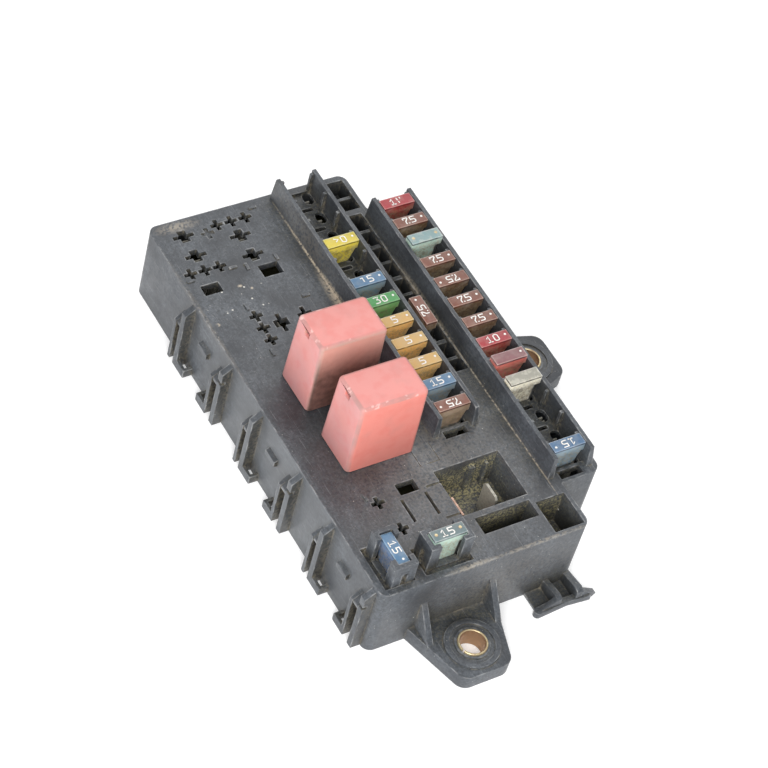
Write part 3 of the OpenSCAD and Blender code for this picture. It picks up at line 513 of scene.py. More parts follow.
@dataclass(frozen=True)
class TintedPolycarbonate:
    """Tinted clear polycarbonate, moulded: light soaks through it, and dust has dulled it.

    The point attribute 'drop' gives the distance below the fuse's top in millimetres: a dark line of dust
    lies along the seam under the lid, and dirt grows towards the foot. Below the top edge the colour turns
    to a painted side colour, the top edges are paled by wear and a painted highlight, and the lower sides
    glow faintly with their own colour, a painted glow that stands in for light carried down from the lid.
    """

    name: str
    top: str
    # The side colour below the top edge, mostly a painted copy of the tint, lit by light that soaks
    # through.
    low: str
    frost: float
    haze: str = "b9b5ac"
    bloom: str = "cfccbe"
    spots: str = "6f7068"
    # Wear and a painted highlight on the top edges.
    rim: str = "d8d2c8"
    seam: str = "2c2420"
    dust: str = "97876a"
    smear: str = "4f463a"
    seam_mm: float = 0.5
    # Strength of the painted glow of the lower sides.
    painted_glow: float = 0.22
    edges: Hollow = Hollow(0.5, 0.9, 0.5, inside=True)
    clouds: Patch = Patch(2.6)
    bloomed: Patch = Patch(1.7, 6.0, 0.5, 0.6)
    spotted: Patch = Patch(1.1, 5.0, 0.6, 0.68)
    seamed: Patch = Patch(2.0, 4.0, 0.3, 0.5, 0.0, 0.7)
    dusted: Patch = Patch(0.7, 4.0, 0.44, 0.6, 0.0, 0.6)
    smeared: Patch = Patch(1.8, 5.0, 0.52, 0.66, 0.0, 0.5)

    def material(self) -> Material:
        """Builds the material.

        Returns:
            The material of one fuse colour.
        """
        coats = Coats(self.name, self.top)
        drop = coats.add("Attribute", attribute_name="drop").outputs["Fac"]
        clouds = coats.patches(self.clouds)
        # Below the top edge, the painted side colour.
        foot = coats.share((drop, 0.5, 1.0))
        coats.lay(self.low, foot)
        coats.lay(self.haze, (clouds, 0.42, 0.7, 0.0, 0.2))
        if self.frost:
            coats.lay(self.bloom, self.bloomed, self.frost)
            coats.lay(self.spots, self.spotted, self.frost)
        # Wear and a painted highlight: a pale rim on the top edges.
        coats.lay(self.rim, self.edges, (drop, 0.32, 0.05, 0.0, 0.35))
        below = coats.add("Math", {0: drop, 1: self.seam_mm}, operation="SUBTRACT").outputs[0]
        away = coats.add("Math", {0: below}, operation="ABSOLUTE").outputs[0]
        coats.lay(self.seam, (away, 0.4, 0.15), self.seamed)
        coats.lay(self.dust, (drop, 0.6, 3.5), self.dusted)
        coats.lay(self.smear, (drop, 0.6, 4.5), self.smeared)
        return coats.finish(
            {
                "Roughness": coats.share((clouds, 0.0, 1.0, 0.22, 0.57)),
                "IOR": 1.58,
                "Subsurface Weight": 0.8,
                "Subsurface Radius": (1.0, 1.0, 1.0),
                "Subsurface Scale": 3.0 * MM,
                # Painted glow: the lower sides give off their own colour, standing in for light carried
                # down from the lid.
                "Emission Color": coats.colour,
                "Emission Strength": coats.share(foot, self.painted_glow),
            }
        )


@dataclass(frozen=True)
class FadedCase:
    """Red thermoplastic relay case, moulded: bleached to pink on top, greyed on the left by dust and a
    painted sheen, scuffed at edges.

    A point attribute says where brown dirt and painted shade lie on the rear relay's front face, more
    towards its foot. Its upper edges are paled by wear and a painted highlight, and painted shade darkens
    the notch hollows.
    """

    name: str = "relay case plastic, bleached red"
    side: str = "de877c"
    top: str = "d8918c"
    # Dust and a painted sheen on faces turned to the left.
    grey_dust_and_sheen: str = "b39498"
    blush: str = "d4665d"
    smear: str = "b58680"
    scuff: str = "96807b"
    # Wear and a painted highlight on the upper edges.
    bleached: str = "f0c8c2"
    fresh: str = "c0403a"
    # The colour of painted shade in the notch hollows.
    painted_shade: str = "35100e"
    dust: str = "b3a193"
    # Brown dirt and painted shade on the rear relay's front face.
    brown: str = "44302a"
    slits: Hollow = Hollow(1.5, 0.6, 0.3, 0.85)
    notch_shade: Hollow = Hollow(3.0, 0.26, 0.1, 0.8)
    clouds: Patch = Patch(8.0, 4.0, 0.3, 0.7)
    blushed: Patch = Patch(4.0, 6.0, 0.48, 0.66, 0.0, 0.24)
    smeared: Patch = Patch(6.5, 6.0, 0.52, 0.7, 0.0, 0.22)
    scuffed: Patch = Patch(9.0, 4.0, 0.3, 0.6, 0.0, 0.6)
    rubbed_and_highlit: Patch = Patch(2.2, 6.0, 0.58, 0.66, 0.0, 0.6)
    soiled: Patch = Patch(2.0, 5.0, 0.3, 0.7, 0.75, 0.95)
    grain: Patch = Patch(0.6, 3.0)

    def material(self) -> Material:
        """Builds the material.

        Returns:
            The relay caps' material.
        """
        coats = Coats(self.name, self.side)
        along_x, along_y, along_z = coats.facing
        clouds = coats.patches(self.clouds)
        coats.lay(self.top, (along_z, 0.3, 0.95), (clouds, 0.0, 1.0, 0.7, 1.0))
        # Dust and a painted sheen grey the faces turned to the left.
        coats.lay(self.grey_dust_and_sheen, (along_x, -0.4, -0.95), (clouds, 0.0, 1.0, 0.35, 0.6))
        coats.lay(self.blush, self.blushed)
        coats.lay(self.smear, self.smeared)
        edge = self.rounding(coats)
        coats.lay(self.scuff, edge, self.scuffed)
        # Wear and a painted highlight on the upper rounded edges.
        coats.lay(self.bleached, edge, self.rubbed_and_highlit, (along_z, 0.2, 0.5))
        coats.lay(self.fresh, self.slits)
        # Painted shade in the notch hollows.
        coats.lay(self.painted_shade, self.notch_shade)
        grime_and_shade = coats.add("Attribute", attribute_name="grime_and_shade").outputs["Fac"]
        front = coats.share((along_y, -0.5, -0.85))
        # Dust, brown dirt and painted shade on the rear relay's front face, more towards its foot.
        coats.lay(self.dust, (grime_and_shade, 0.1, 0.3), front, 0.5)
        coats.lay(self.brown, (grime_and_shade, 0.36, 0.66), front, self.soiled)
        rough = coats.share((clouds, 0.0, 1.0, 0.42, 0.6))
        return coats.finish({"Roughness": rough, "Normal": coats.bumps(self.grain, 0.12), "IOR": 1.5})

    def rounding(self, coats: Coats) -> Socket:
        """Marks the rounded edges of the box: where the surface faces along no axis.

        Args:
            coats: the caps' coats.

        Returns:
            The mark.
        """
        sides = coats.add("VectorMath", {0: coats.normal}, operation="ABSOLUTE").outputs[0]
        along = coats.add("SeparateXYZ", {0: sides}).outputs
        most = along[0]
        for other in (along[1], along[2]):
            most = coats.add("Math", {0: most, 1: other}, operation="MAXIMUM").outputs[0]
        return coats.share((most, 0.985, 0.9))


@dataclass(frozen=True)
class PlatedMetal:
    """Plated or bare metal, stamped or rolled: shiny, dulled in patches by handling, dust and oxide.

    Where a piece has the point attribute 'inner', that surface is stained with the oxide.
    """

    name: str
    base: str
    oxide: str
    roughness: float = 0.3
    patch_mm: float = 1.5
    dull: float = 0.2

    def material(self) -> Material:
        """Builds the material; its dusty patches are less metallic.

        Returns:
            The metal's material.
        """
        coats = Coats(self.name, self.base)
        patches = coats.patches(Patch(self.patch_mm, 4.0, 0.4, 0.7))
        inner = coats.add("Attribute", attribute_name="inner").outputs["Fac"]
        stains = {0: coats.share(patches, 0.6), 1: inner}
        coats.lay(self.oxide, coats.add("Math", stains, operation="MAXIMUM").outputs[0])
        rough = coats.share((patches, 0.0, 1.0, self.roughness, self.roughness + 0.25))
        metallic = coats.share((patches, 0.0, 1.0, 1.0 - self.dull * 0.5, 1.0 - self.dull))
        return coats.finish({"Roughness": rough, "Metallic": metallic})


@dataclass(frozen=True)
class PlainMoulding:
    """Plain moulded plastic, laminate or ink: even colour with a slight mottle."""

    name: str
    base: str
    mottle: str
    roughness: float = 0.5
    patch_mm: float = 4.0

    def material(self) -> Material:
        """Builds the material.

        Returns:
            The plain material.
        """
        coats = Coats(self.name, self.base)
        coats.lay(self.mottle, Patch(self.patch_mm, 4.0, 0.4, 0.7, 0.0, 0.5))
        return coats.finish({"Roughness": self.roughness})


def dress(piece: Piece, material: Material) -> None:
    """Makes a material the only one of a piece."""
    piece.data.materials.clear()
    piece.data.materials.append(material)


def finish_piece(piece: Piece, material: Material, body: str) -> None:
    """Gives a new piece its material and hangs it on a CAD body.

    Args:
        piece: the object, at the origin.
        material: its material.
        body: the CAD body that carries it.
    """
    dress(piece, material)
    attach(piece, body)
    LOG.info("piece %s: %d faces", piece.name, len(piece.data.polygons))


def link_mesh(mesh: Mesh) -> Piece:
    """Puts a mesh into the scene as an object of its name, at the origin.

    Args:
        mesh: the mesh.

    Returns:
        The object.
    """
    piece = bpy.data.objects.new(mesh.name, mesh)
    bpy.context.scene.collection.objects.link(piece)
    return piece


def closed_mesh(name: str, spots_mm: np.ndarray, faces: list[list[int]]) -> Mesh:
    """Makes a closed mesh whose faces point outwards.

    Args:
        name: the mesh's name.
        spots_mm: its points in millimetres, one in each row.
        faces: the point numbers of each face.

    Returns:
        The mesh, in metres.
    """
    mesh = bpy.data.meshes.new(name)
    mesh.from_pydata((spots_mm * MM).tolist(), [], faces)
    work = bmesh.new()
    work.from_mesh(mesh)
    bmesh.ops.recalc_face_normals(work, faces=work.faces)
    work.to_mesh(mesh)
    work.free()
    return mesh


def smooth(mesh: Mesh, sharp_deg: float) -> None:
    """Shades a mesh smooth, apart from edges sharper than an angle."""
    mesh.polygons.foreach_set("use_smooth", np.ones(len(mesh.polygons), bool))
    mesh.set_sharp_from_angle(angle=math.radians(sharp_deg))


def round_edges(work: bmesh.types.BMesh, edges: list[Edge], radius_mm: float, segments: int) -> None:
    """Replaces edges by rounded strips.

    Args:
        work: the mesh.
        edges: its edges to round.
        radius_mm: the rounding's width.
        segments: strips in the rounding.
    """
    bmesh.ops.bevel(
        work,
        geom=edges,
        offset=radius_mm * MM,
        offset_type="OFFSET",
        segments=segments,
        profile=0.5,
        affect="EDGES",
        clamp_overlap=True,
    )


@dataclass(frozen=True)
class Softening:
    """How a mould rounds a piece's edges: the rounding's width, and a wider one for the edges of a rim."""

    edge_mm: float
    rim_mm: float = 0.0
    segments: int = 2
    rim_segments: int = 4
    sharp_deg: float = 30.0
    flat_deg: float = 2.0
    smooth_deg: float = 50.0
    merge_m: float = 2e-6

    def copy(self, node: str, name: str, rim: Callable[[Edge], bool] | None = None) -> Piece:
        """Copies a CAD node and rounds its edges.

        The copy's loose triangles are merged, flat regions are joined, and each edge sharper than the limit
        is replaced by a narrow rounded strip.

        Args:
            node: the CAD node.
            name: the new object's name.
            rim: tells which edges get the wider rounding first.

        Returns:
            The new object, which stands for the node.
        """
        work = bmesh.new()
        work.from_mesh(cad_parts[node].data)
        bmesh.ops.remove_doubles(work, verts=work.verts, dist=self.merge_m)
        flat = math.radians(self.flat_deg)
        bmesh.ops.dissolve_limit(work, angle_limit=flat, verts=work.verts, edges=work.edges)
        if rim:
            outer = [e for e in work.edges if e.is_manifold and rim(e)]
            round_edges(work, outer, self.rim_mm, self.rim_segments)
        limit = math.radians(self.sharp_deg)
        sharp = [e for e in work.edges if e.is_manifold and e.calc_face_angle(0.0) > limit]
        round_edges(work, sharp, self.edge_mm, self.segments)
        bmesh.ops.triangulate(work, faces=[f for f in work.faces if len(f.verts) > 4])
        mesh = bpy.data.meshes.new(name)
        work.to_mesh(mesh)
        work.free()
        smooth(mesh, self.smooth_deg)
        piece = link_mesh(mesh)
        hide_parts(node)
        return piece


def point_values(mesh: Mesh, name: str, values: np.ndarray) -> None:
    """Stores one number for each point of a mesh.

    Args:
        mesh: the mesh.
        name: the attribute's name.
        values: as many numbers as the mesh has points.
    """
    store = mesh.attributes.new(name, "FLOAT", "POINT")
    store.data.foreach_set("value", values.astype(np.float32))


def points_of(mesh: Mesh) -> np.ndarray:
    """Returns the mesh's points as rows of x, y and z."""
    flat = np.zeros(len(mesh.vertices) * 3, np.float64)
    mesh.vertices.foreach_get("co", flat)
    return flat.reshape(-1, 3)


def grid_faces(rows: int, columns: int, wrap_rows: bool) -> np.ndarray:
    """Joins a grid of points, stored row by row, with four-sided faces; each row is a ring.

    Args:
        rows: rows of points.
        columns: points in a row.
        wrap_rows: joins the last row to the first.

    Returns:
        One row of four point numbers for each face.
    """
    down = np.arange(rows if wrap_rows else rows - 1)
    i, j = np.meshgrid(down, np.arange(columns), indexing="ij")
    i, j = i.ravel(), j.ravel()
    after_i, after_j = (i + 1) % rows, (j + 1) % columns
    corners = (i * columns + j, i * columns + after_j, after_i * columns + after_j, after_i * columns + j)
    return np.column_stack(corners)


@dataclass
class Housing:
    """The moulded box: a softened copy of the CAD solid."""

    softening: Softening = Softening(0.28, 0.9)
    corner_mm: float = 4.0
    level_mm: float = 0.02
    near_mm: float = 0.05
    square_rad: float = 1.0

    def build(self) -> None:
        """Builds and dresses the housing."""
        piece = self.softening.copy("housing", "housing_moulding", self.on_rim)
        finish_piece(piece, MouldedNylon().material(), "panel")

    def on_rim(self, edge: Edge) -> bool:
        """Tells whether an edge is on the deck's outer rim: level with it, next to a wall, at the outline.

        Args:
            edge: an edge of the housing.

        Returns:
            Whether it gets the wider rounding.
        """
        ends = np.array([v.co for v in edge.verts]) / MM
        x, y, z = (ends + [BOX.origin_x, BOX.origin_y, 0.0]).T
        if np.abs(z - DECK_H).max() > self.level_mm or edge.calc_face_angle(0.0) < self.square_rad:
            return False
        left, front = np.abs(x).max() < self.near_mm, np.abs(y).max() < self.near_mm
        rear = np.abs(y - BOX.body_len).max() < self.near_mm
        near_left = x.max() < self.corner_mm and x.min() > -self.near_mm
        corner = near_left and (y.max() < self.corner_mm or y.min() > BOX.body_len - self.corner_mm)
        return left or front or rear or corner


@dataclass(frozen=True)
class FuseKind:
    """One fuse: its CAD name, colour, printed figure, whether it is turned round, dot, own head and own
    painted side colour.

    Letters in the figure stand for figures that have worn off in part.
    """

    name: str
    tint: Tint
    figure: str = ""
    flipped: bool = False
    dot: bool = True
    top: str = ""
    # Its own side colour, painted for the light on it.
    low: str = ""


FUSES: tuple[FuseKind, ...] = (
    FuseKind("fuse_mid_3", Tint.BROWN, "7.5", True, low="86705c"),
    FuseKind("fuse_mid_4", Tint.BLUE, "15"),
    *(FuseKind(f"fuse_mid_{seat}", Tint.TAN, "5") for seat in (5, 6, 7)),
    FuseKind("fuse_mid_8", Tint.GREEN, "30"),
    FuseKind("fuse_mid_9", Tint.BLUE, "i5"),
    FuseKind("fuse_mid_11", Tint.YELLOW, "z0"),
    FuseKind("fuse_right_0", Tint.BLUE, "15", True, top="466a8c"),
    FuseKind("fuse_right_3", Tint.CLEAR, dot=False),
    FuseKind("fuse_right_4", Tint.RED, top="83575a", low="b5605a"),
    FuseKind("fuse_right_5", Tint.RED, "10"),
    *(FuseKind(f"fuse_right_{seat}", Tint.BROWN, "7.5") for seat in (6, 7)),
    FuseKind("fuse_right_8", Tint.BROWN, "7.5", True),
    FuseKind("fuse_right_9", Tint.BROWN, "7.5"),
    FuseKind("fuse_right_10", Tint.TEAL, dot=False),
    FuseKind("fuse_right_11", Tint.BROWN, "7.5"),
    FuseKind("fuse_right_12", Tint.RED, "1o", dot=False),
    FuseKind("fuse_turned_1", Tint.BROWN, "7.5"),
    FuseKind("fuse_front_0", Tint.BLUE, "15", True, low="3a5c84"),
    FuseKind("fuse_front_1", Tint.TEAL, "15", dot=False, top="66787b"),
)

# Each figure is drawn in strokes on a cell one wide and high; a stroke that ends at its start is closed.
STROKES: dict[str, tuple[tuple[tuple[float, float], ...], ...]] = {
    "0": (
        ((0.22, 0), (0.78, 0), (1, 0.15), (1, 0.85), (0.78, 1), (0.22, 1), (0, 0.85), (0, 0.15), (0.22, 0)),
    ),
    "1": (((0.1, 0.72), (0.52, 1), (0.52, 0)), ((0.08, 0), (0.96, 0))),
    "3": (((0, 1), (1, 1), (0.48, 0.58), (0.8, 0.55), (1, 0.4), (1, 0.15), (0.8, 0), (0, 0)),),
    "5": (((1, 1), (0, 1), (0, 0.54), (0.75, 0.54), (1, 0.4), (1, 0.15), (0.8, 0), (0, 0)),),
    "7": (((0, 0.8), (0, 1), (1, 1), (1, 0.85), (0.38, 0.36), (0.38, 0)),),
    ".": (((-0.5, 0), (0.5, 0)),),
    "i": (((0.15, 0.92), (0.55, 0.92), (0.55, 0.3)),),
    "z": (((0.15, 0.9), (0.95, 0.66), (0.4, 0.36)),),
    "o": (((0.1, 0.95), (0.14, 0.6)), ((0.2, 0.3), (0.22, 0.1)), ((0.85, 0.95), (0.87, 0.8))),
}


@dataclass
class Stencil:
    """Thin raised print: strokes and dots of a real width, laid on a level top."""

    stroke_mm: float = 0.36
    thick_mm: float = 0.03
    least_mitre: float = 0.7
    dot_sides: int = 18
    dot_hole: float = 0.02
    spots: list[np.ndarray] = field(default_factory=list)
    faces: list[list[int]] = field(default_factory=list)

    def slab(self, left: np.ndarray, right: np.ndarray, closed: bool) -> None:
        """Adds a flat strip with a thickness: its cross section is a box carried along both outlines.

        Args:
            left: the points of its left outline.
            right: as many points of its right outline.
            closed: joins its end to its start.
        """
        count = len(left)
        high = np.full((count, 1), self.thick_mm)
        low = np.zeros((count, 1))
        rim = [np.hstack(pair) for pair in ((left, high), (left, low), (right, low), (right, high))]
        start = sum(len(s) for s in self.spots)
        self.spots.append(np.stack(rim, axis=1).reshape(-1, 3))
        self.faces.extend((grid_faces(count, 4, closed) + start).tolist())
        if not closed:
            last = start + 4 * (count - 1)
            self.faces.append([start + 3, start + 2, start + 1, start])
            self.faces.append([last, last + 1, last + 2, last + 3])

    def stroke(self, path: np.ndarray) -> None:
        """Adds one stroke: the path moved half a width to each side, with mitred bends.

        Args:
            path: its points, in millimetres.
        """
        closed = bool(np.allclose(path[0], path[-1]))
        points = path[:-1] if closed else path
        leg = np.roll(points, -1, axis=0) - points
        leg = leg / np.linalg.norm(leg, axis=1, keepdims=True)
        before = np.roll(leg, 1, axis=0)
        if not closed:
            leg[-1] = before[-1]
            before[0] = leg[0]
        square_a = np.column_stack([-before[:, 1], before[:, 0]])
        square_b = np.column_stack([-leg[:, 1], leg[:, 0]])
        mitre = square_a + square_b
        mitre = mitre / np.clip(np.sum(mitre * square_a, axis=1, keepdims=True), self.least_mitre, None)
        half = self.stroke_mm / 2
        if not closed:
            points = points.copy()
            points[0] -= leg[0] * half
            points[-1] += leg[-1] * half
        self.slab(points + mitre * half, points - mitre * half, closed)

    def dot(self, x: float, y: float, radius: float) -> None:
        """Adds a round dot, as a closed strip whose inner outline is almost a point.

        Args:
            x: its place along the print.
            y: its place across the print.
            radius: its radius in millimetres.
        """
        turn = np.linspace(0.0, 2.0 * math.pi, self.dot_sides, endpoint=False)
        ring = np.column_stack([np.cos(turn), np.sin(turn)])
        middle = np.array([x, y])
        self.slab(middle + ring * radius * self.dot_hole, middle + ring * radius, True)

    def mesh(self, name: str, seat: Matrix) -> Mesh:
        """Makes the mesh.

        Args:
            name: the mesh's name.
            seat: where the print lies, in metres.

        Returns:
            The print's mesh.
        """
        mesh = closed_mesh(name, np.vstack(self.spots), self.faces)
        mesh.transform(seat)
        return mesh


@dataclass
class FuseRow:
    """All plug-in fuses: softened bodies, metal blades, and a printed figure and dot on each head."""

    softening: Softening = Softening(0.3)
    digit_mm: tuple[float, float] = (1.5, 2.25)
    point_mm: float = 0.1
    gap_mm: float = 0.95
    rise_mm: float = 0.1
    shift_mm: float = -0.35
    dot_mm: Triple = (4.15, 0.35, 0.38)
    rivet_mm: Triple = (4.0, 0.2, 0.5)
    bodies: dict[tuple[Tint, str, str], Material] = field(default_factory=dict)

    def build(self, blade: Material, ink: Material, brass: Material) -> None:
        """Builds and dresses every fuse.

        Args:
            blade: the blades' material.
            ink: the printed figures' material.
            brass: the rivets' material on heads that show them.
        """
        for kind in FUSES:
            piece = self.softening.copy(kind.name + "_body", kind.name + "_moulding")
            height = points_of(piece.data)[:, 2]
            point_values(piece.data, "drop", (height.max() - height) / MM)
            finish_piece(piece, self.tinted(kind), kind.name)
            dress(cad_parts[kind.name + "_blades"], blade)
            if kind.figure or kind.dot:
                self.print_figure(kind, ink)
            if kind.tint is Tint.TEAL:
                self.rivets(kind, brass)

    def tinted(self, kind: FuseKind) -> Material:
        """Returns the material of one fuse colour, made once.

        Args:
            kind: a fuse of that colour.

        Returns:
            The body's material.
        """
        key = (kind.tint, kind.top, kind.low)
        if key not in self.bodies:
            own = ", " + kind.name if kind.top or kind.low else ""
            name = "tinted polycarbonate, " + kind.tint.name.lower() + own
            head, sides, frost = kind.tint.value
            if kind.top:
                head, frost = kind.top, 0.0
            self.bodies[key] = TintedPolycarbonate(name, head, kind.low or sides, frost).material()
        return self.bodies[key]

    def seat(self, kind: FuseKind) -> Matrix:
        """Works out where the middle of a fuse's top is, with its x along the fuse, as it reads.

        Args:
            kind: the fuse.

        Returns:
            The place and turn, in metres.
        """
        low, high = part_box(kind.name + "_body")
        middle = (low + high) / 2
        along_y = (high.y - low.y) > (high.x - low.x)
        turn = (math.pi / 2 if along_y else 0.0) + (math.pi if kind.flipped else 0.0)
        return Matrix.Translation(Vector((middle.x, middle.y, high.z))) @ Matrix.Rotation(turn, 4, "Z")

    def print_figure(self, kind: FuseKind, ink: Material) -> None:
        """Prints a fuse's rating and its dot on the head.

        Args:
            kind: the fuse.
            ink: the print's material.
        """
        plate = Stencil()
        width, height = self.digit_mm
        steps = [width + self.gap_mm if sign != "." else 0.0 for sign in kind.figure]
        cursor = self.shift_mm - (sum(steps) - self.gap_mm) / 2
        for sign, step in zip(kind.figure, steps):
            size = [width if step else self.point_mm, height]
            corner = [cursor if step else cursor - self.gap_mm, self.rise_mm - height / 2]
            for path in STROKES[sign]:
                plate.stroke(np.array(path, float) * size + corner)
            cursor += step
        if kind.dot:
            plate.dot(*self.dot_mm)
        piece = link_mesh(plate.mesh(kind.name + "_figure", self.seat(kind)))
        finish_piece(piece, ink, kind.name)

    def rivets(self, kind: FuseKind, brass: Material) -> None:
        """Sets the two blade ends that show as dots in a clear head.

        Args:
            kind: the fuse.
            brass: their material.
        """
        ends = Stencil()
        along, across, radius = self.rivet_mm
        for x in (-along, along):
            ends.dot(x, across, radius)
        piece = link_mesh(ends.mesh(kind.name + "_ends", self.seat(kind)))
        finish_piece(piece, brass, kind.name)


@dataclass
class RelayPair:
    """The two plug-in relays: softened caps over their bases, blades and coils."""

    softening: Softening = Softening(0.25)
    grimy_and_shaded: int = 2
    # Brown dirt and painted shade, from the cap's top to its foot.
    grime_and_shade: tuple[float, float] = (0.3, 1.0)

    def build(self, base: Material, blade: Material, coil: Material) -> None:
        """Builds and dresses both relays.

        Args:
            base: the base plate's material.
            blade: the blades' material.
            coil: the coil's material.
        """
        case = FadedCase().material()
        for number in (1, 2):
            body = f"relay_{number}"
            piece = self.softening.copy(body + "_cap", body + "_case")
            self.store_grime_and_shade(piece.data, number == self.grimy_and_shaded)
            finish_piece(piece, case, body)
            for part, material in (("base", base), ("blades", blade), ("coil", coil)):
                dress(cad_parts[f"{body}_{part}"], material)

    def store_grime_and_shade(self, mesh: Mesh, grimy_and_shaded: bool) -> None:
        """Marks the soiled relay, more so towards its foot; its dirt and painted shade show on its front
        face.

        Args:
            mesh: the cap's mesh.
            grimy_and_shaded: whether this cap is soiled and painted with shade.
        """
        height = points_of(mesh)[:, 2]
        deep = (height.max() - height) / np.ptp(height)
        point_values(mesh, "grime_and_shade", np.interp(deep, (0.0, 1.0), self.grime_and_shade) * grimy_and_shaded)


@dataclass
class BushPair:
    """The two rolled steel bushes: a strip bent to a ring, with a seam, rounded rim and stained bore."""

    bore_mm: float = 3.9
    outer_mm: float = 4.6
    rim_mm: float = 0.3
    rim_steps: int = 5
    seam_deg: float = 5.0
    seam_at_deg: float = 200.0
    steps: int = 64
    smooth_deg: float = 40.0
    stain: float = 0.75
    stain_mm: float = 0.05

    def build(self, metal: Material) -> None:
        """Builds both bushes in the place of their CAD node.

        Args:
            metal: their material.
        """
        cad = points_of(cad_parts["mount_bushes"].data) / MM
        split = (cad[:, 0].min() + cad[:, 0].max()) / 2
        rings, faces = [], []
        for part in (cad[cad[:, 0] < split], cad[cad[:, 0] >= split]):
            low, high = part.min(axis=0), part.max(axis=0)
            wall = self.wall(low[2], high[2])
            faces.extend(self.faces(len(wall), len(rings) * self.steps * len(wall)))
            rings.append(self.sleeve((low + high) / 2, wall))
        mesh = closed_mesh("bush_sleeves", np.vstack(rings), faces)
        smooth(mesh, self.smooth_deg)
        stained = np.where(wall[:, 0] < self.bore_mm + self.stain_mm, self.stain, 0.0)
        point_values(mesh, "inner", np.tile(stained, self.steps * len(rings)))
        piece = link_mesh(mesh)
        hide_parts("mount_bushes")
        finish_piece(piece, metal, "panel")

    def wall(self, low: float, high: float) -> np.ndarray:
        """Works out the wall's profile: up the outside, over a rounded rim and down the bore.

        Args:
            low: its lower end.
            high: its upper end.

        Returns:
            Rows of radius and height.
        """
        bend = np.linspace(0.0, math.pi / 2, self.rim_steps)
        r = self.rim_mm
        outer_rim = np.column_stack([self.outer_mm - r + r * np.cos(bend), high - r + r * np.sin(bend)])
        inner_rim = np.column_stack([self.bore_mm + r - r * np.sin(bend), high - r + r * np.cos(bend)])
        return np.vstack([[[self.outer_mm, low]], outer_rim, inner_rim, [[self.bore_mm, low]]])

    def sleeve(self, middle: np.ndarray, wall: np.ndarray) -> np.ndarray:
        """Carries the wall's profile round the axis, for almost a full turn.

        Args:
            middle: a point on the axis.
            wall: the profile.

        Returns:
            The sleeve's points, turn by turn.
        """
        gap = math.radians(self.seam_deg)
        turn = np.linspace(gap, 2.0 * math.pi - gap, self.steps)[:, None] + math.radians(self.seam_at_deg)
        x = middle[0] + wall[None, :, 0] * np.cos(turn)
        y = middle[1] + wall[None, :, 0] * np.sin(turn)
        z = np.broadcast_to(wall[None, :, 1], x.shape)
        return np.stack([x, y, z], axis=-1).reshape(-1, 3)

    def faces(self, columns: int, start: int) -> list[list[int]]:
        """Joins a sleeve's points, and closes it at both sides of the seam.

        Args:
            columns: points in the profile.
            start: the number of its first point.

        Returns:
            The point numbers of each face.
        """
        first = np.arange(columns)
        last = first[::-1] + columns * (self.steps - 1)
        quads = grid_faces(self.steps, columns, False) + start
        return quads.tolist() + [(first + start).tolist(), (last + start).tolist()]


@dataclass
class Inside:
    """The pieces under the deck, which keep their CAD shape and get their own materials."""

    def build(self, finishes: dict[str, Material]) -> None:
        """Dresses each CAD node.

        Args:
            finishes: the material of each node.
        """
        for name, material in finishes.items():
            dress(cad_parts[name], material)
            LOG.info("node %s: %s", name, material.name)


@dataclass(frozen=True)
class Lamp:
    """A square soft light: its place and side in metres, and its power in watts."""

    name: str
    spot: Triple
    side: float
    power: float

    def hang(self) -> None:
        """Hangs the light so that it looks at the part."""
        light = bpy.data.lights.new(self.name, "AREA")
        light.size = self.side
        light.energy = self.power
        lamp = bpy.data.objects.new(self.name, light)
        lamp.location = self.spot
        lamp.rotation_euler = (-Vector(self.spot)).to_track_quat("-Z", "Y").to_euler()
        bpy.context.scene.collection.objects.link(lamp)


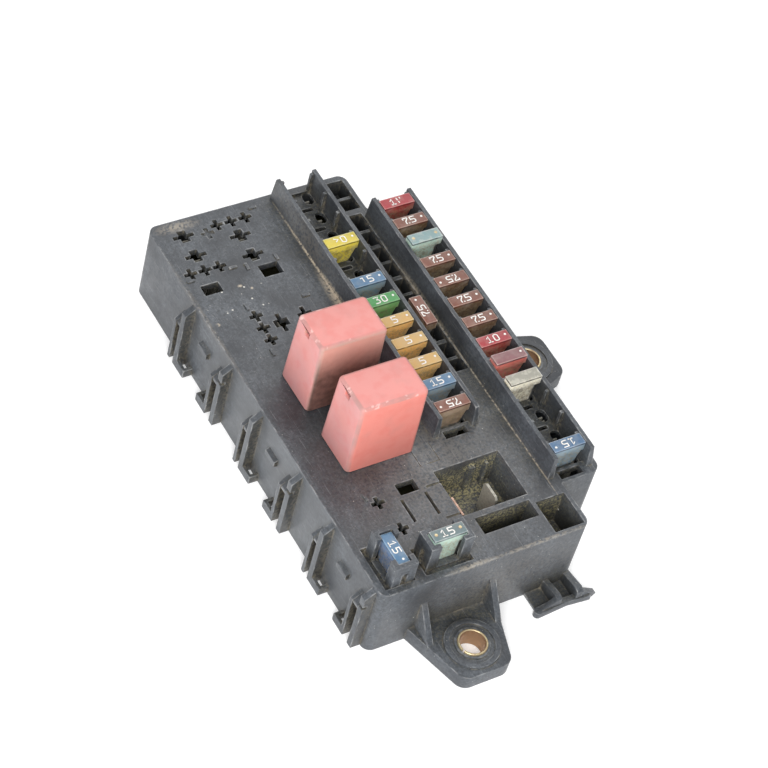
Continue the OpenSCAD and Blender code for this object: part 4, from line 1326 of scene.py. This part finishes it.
@dataclass
class Studio:
    """A plain white floor, soft light from all round and a camera at the photograph's angle."""

    lens_mm: float = 131.02
    sensor_mm: float = 36.0
    eye_mm: Triple = (-331.05, -338.33, 647.80)
    azimuth: float = -42.335
    elevation: float = 48.486
    roll: float = 16.736
    view_m: float = 20.0
    floor_m: float = 4.0
    floor_gap_mm: float = 0.2
    paper: str = "f3f3f3"
    room: float = 0.62
    glow: float = 0.25
    lamps: tuple[Lamp, ...] = (
        Lamp("key_light", (-0.52, -0.58, 0.78), 0.6, 8.5),
        Lamp("fill_light", (-0.71, -0.79, 0.28), 0.6, 3.5),
        Lamp("sheen_light", (0.54, 0.59, 0.9), 0.9, 4.0),
    )

    def build(self) -> None:
        """Builds the floor, lights, world and camera."""
        self.floor()
        self.world()
        for lamp in self.lamps:
            lamp.hang()
        self.camera()

    def floor(self) -> None:
        """Lays a plain pale floor under the part, of matt paper, lit from below as a light table is."""
        half = self.floor_m
        low = -self.floor_gap_mm * MM
        spots = [(-half, -half, low), (half, -half, low), (half, half, low), (-half, half, low)]
        mesh = bpy.data.meshes.new("floor")
        mesh.from_pydata(spots, [], [(0, 1, 2, 3)])
        floor = link_mesh(mesh)
        sheet = Coats("white paper sweep", self.paper)
        glow = {"Emission Color": linear(WHITE), "Emission Strength": self.glow}
        mesh.materials.append(sheet.finish({"Roughness": 0.9} | glow))

    def world(self) -> None:
        """Lights the room evenly from all round."""
        world = bpy.data.worlds.new("studio")
        bpy.context.scene.world = world
        world.use_nodes = True
        back = world.node_tree.nodes["Background"]
        back.inputs["Color"].default_value = linear(WHITE)
        back.inputs["Strength"].default_value = self.room
        bpy.context.scene.view_settings.view_transform = "Standard"

    def camera(self) -> None:
        """Sets the camera: its back axis from azimuth and elevation, then rolled about it."""
        turn, rise, roll = (math.radians(a) for a in (self.azimuth, self.elevation, self.roll))
        back = Vector((math.sin(turn) * math.cos(rise), -math.cos(turn) * math.cos(rise), math.sin(rise)))
        across = Vector((math.cos(turn), math.sin(turn), 0.0))
        upward = back.cross(across)
        right = across * math.cos(roll) + upward * math.sin(roll)
        top = upward * math.cos(roll) - across * math.sin(roll)
        view = bpy.data.cameras.new("photo_camera")
        view.lens = self.lens_mm
        view.sensor_width = self.sensor_mm
        view.clip_end = self.view_m
        camera = bpy.data.objects.new("photo_camera", view)
        basis = Matrix((right, top, back)).transposed().to_4x4()
        camera.matrix_world = Matrix.Translation(BOX.place(*self.eye_mm)) @ basis
        bpy.context.scene.collection.objects.link(camera)
        bpy.context.scene.camera = camera


def main() -> None:
    """Builds every piece in order, then the studio."""
    logging.basicConfig(level=logging.INFO, format="%(name)s: %(message)s")
    tin = PlatedMetal("tin plated bronze, stamped", "cbc8bc", "a09a8b", 0.45, 2.0, 0.95).material()
    worn = PlatedMetal("tin plated bronze, tarnished", "bab7ab", "6e6c63", 0.5, 1.2, 0.95).material()
    copper = PlatedMetal("copper strip, bare", "cfae9c", "9a7d6c", 0.5, 1.5, 0.7).material()
    zinc = PlatedMetal("zinc alloy, stamped", "aeb0b0", "7d7c78").material()
    ink = PlainMoulding("white marking ink", "efede8", "c9c5be", 0.6, 1.0).material()
    dark = PlainMoulding("moulded nylon, inner", "232527", "33342f", 0.6).material()
    board = PlainMoulding("glass epoxy laminate, dusty", "3a3b29", "5c5434", 0.6).material()
    bush = PlatedMetal("steel bush, yellow zinc plated", "cfc29b", "986a50", dull=0.4).material()
    Housing().build()
    FuseRow().build(zinc, ink, bush)
    RelayPair().build(dark, tin, copper)
    BushPair().build(bush)
    Inside().build(
        {
            "lower_cover": dark,
            "circuit_board": board,
            "bus_bars": copper,
            "fuse_contacts": worn,
            "relay_contacts": worn,
            "connector_pins": worn,
        }
    )
    Studio().build()


if __name__ == "__main__":
    main()
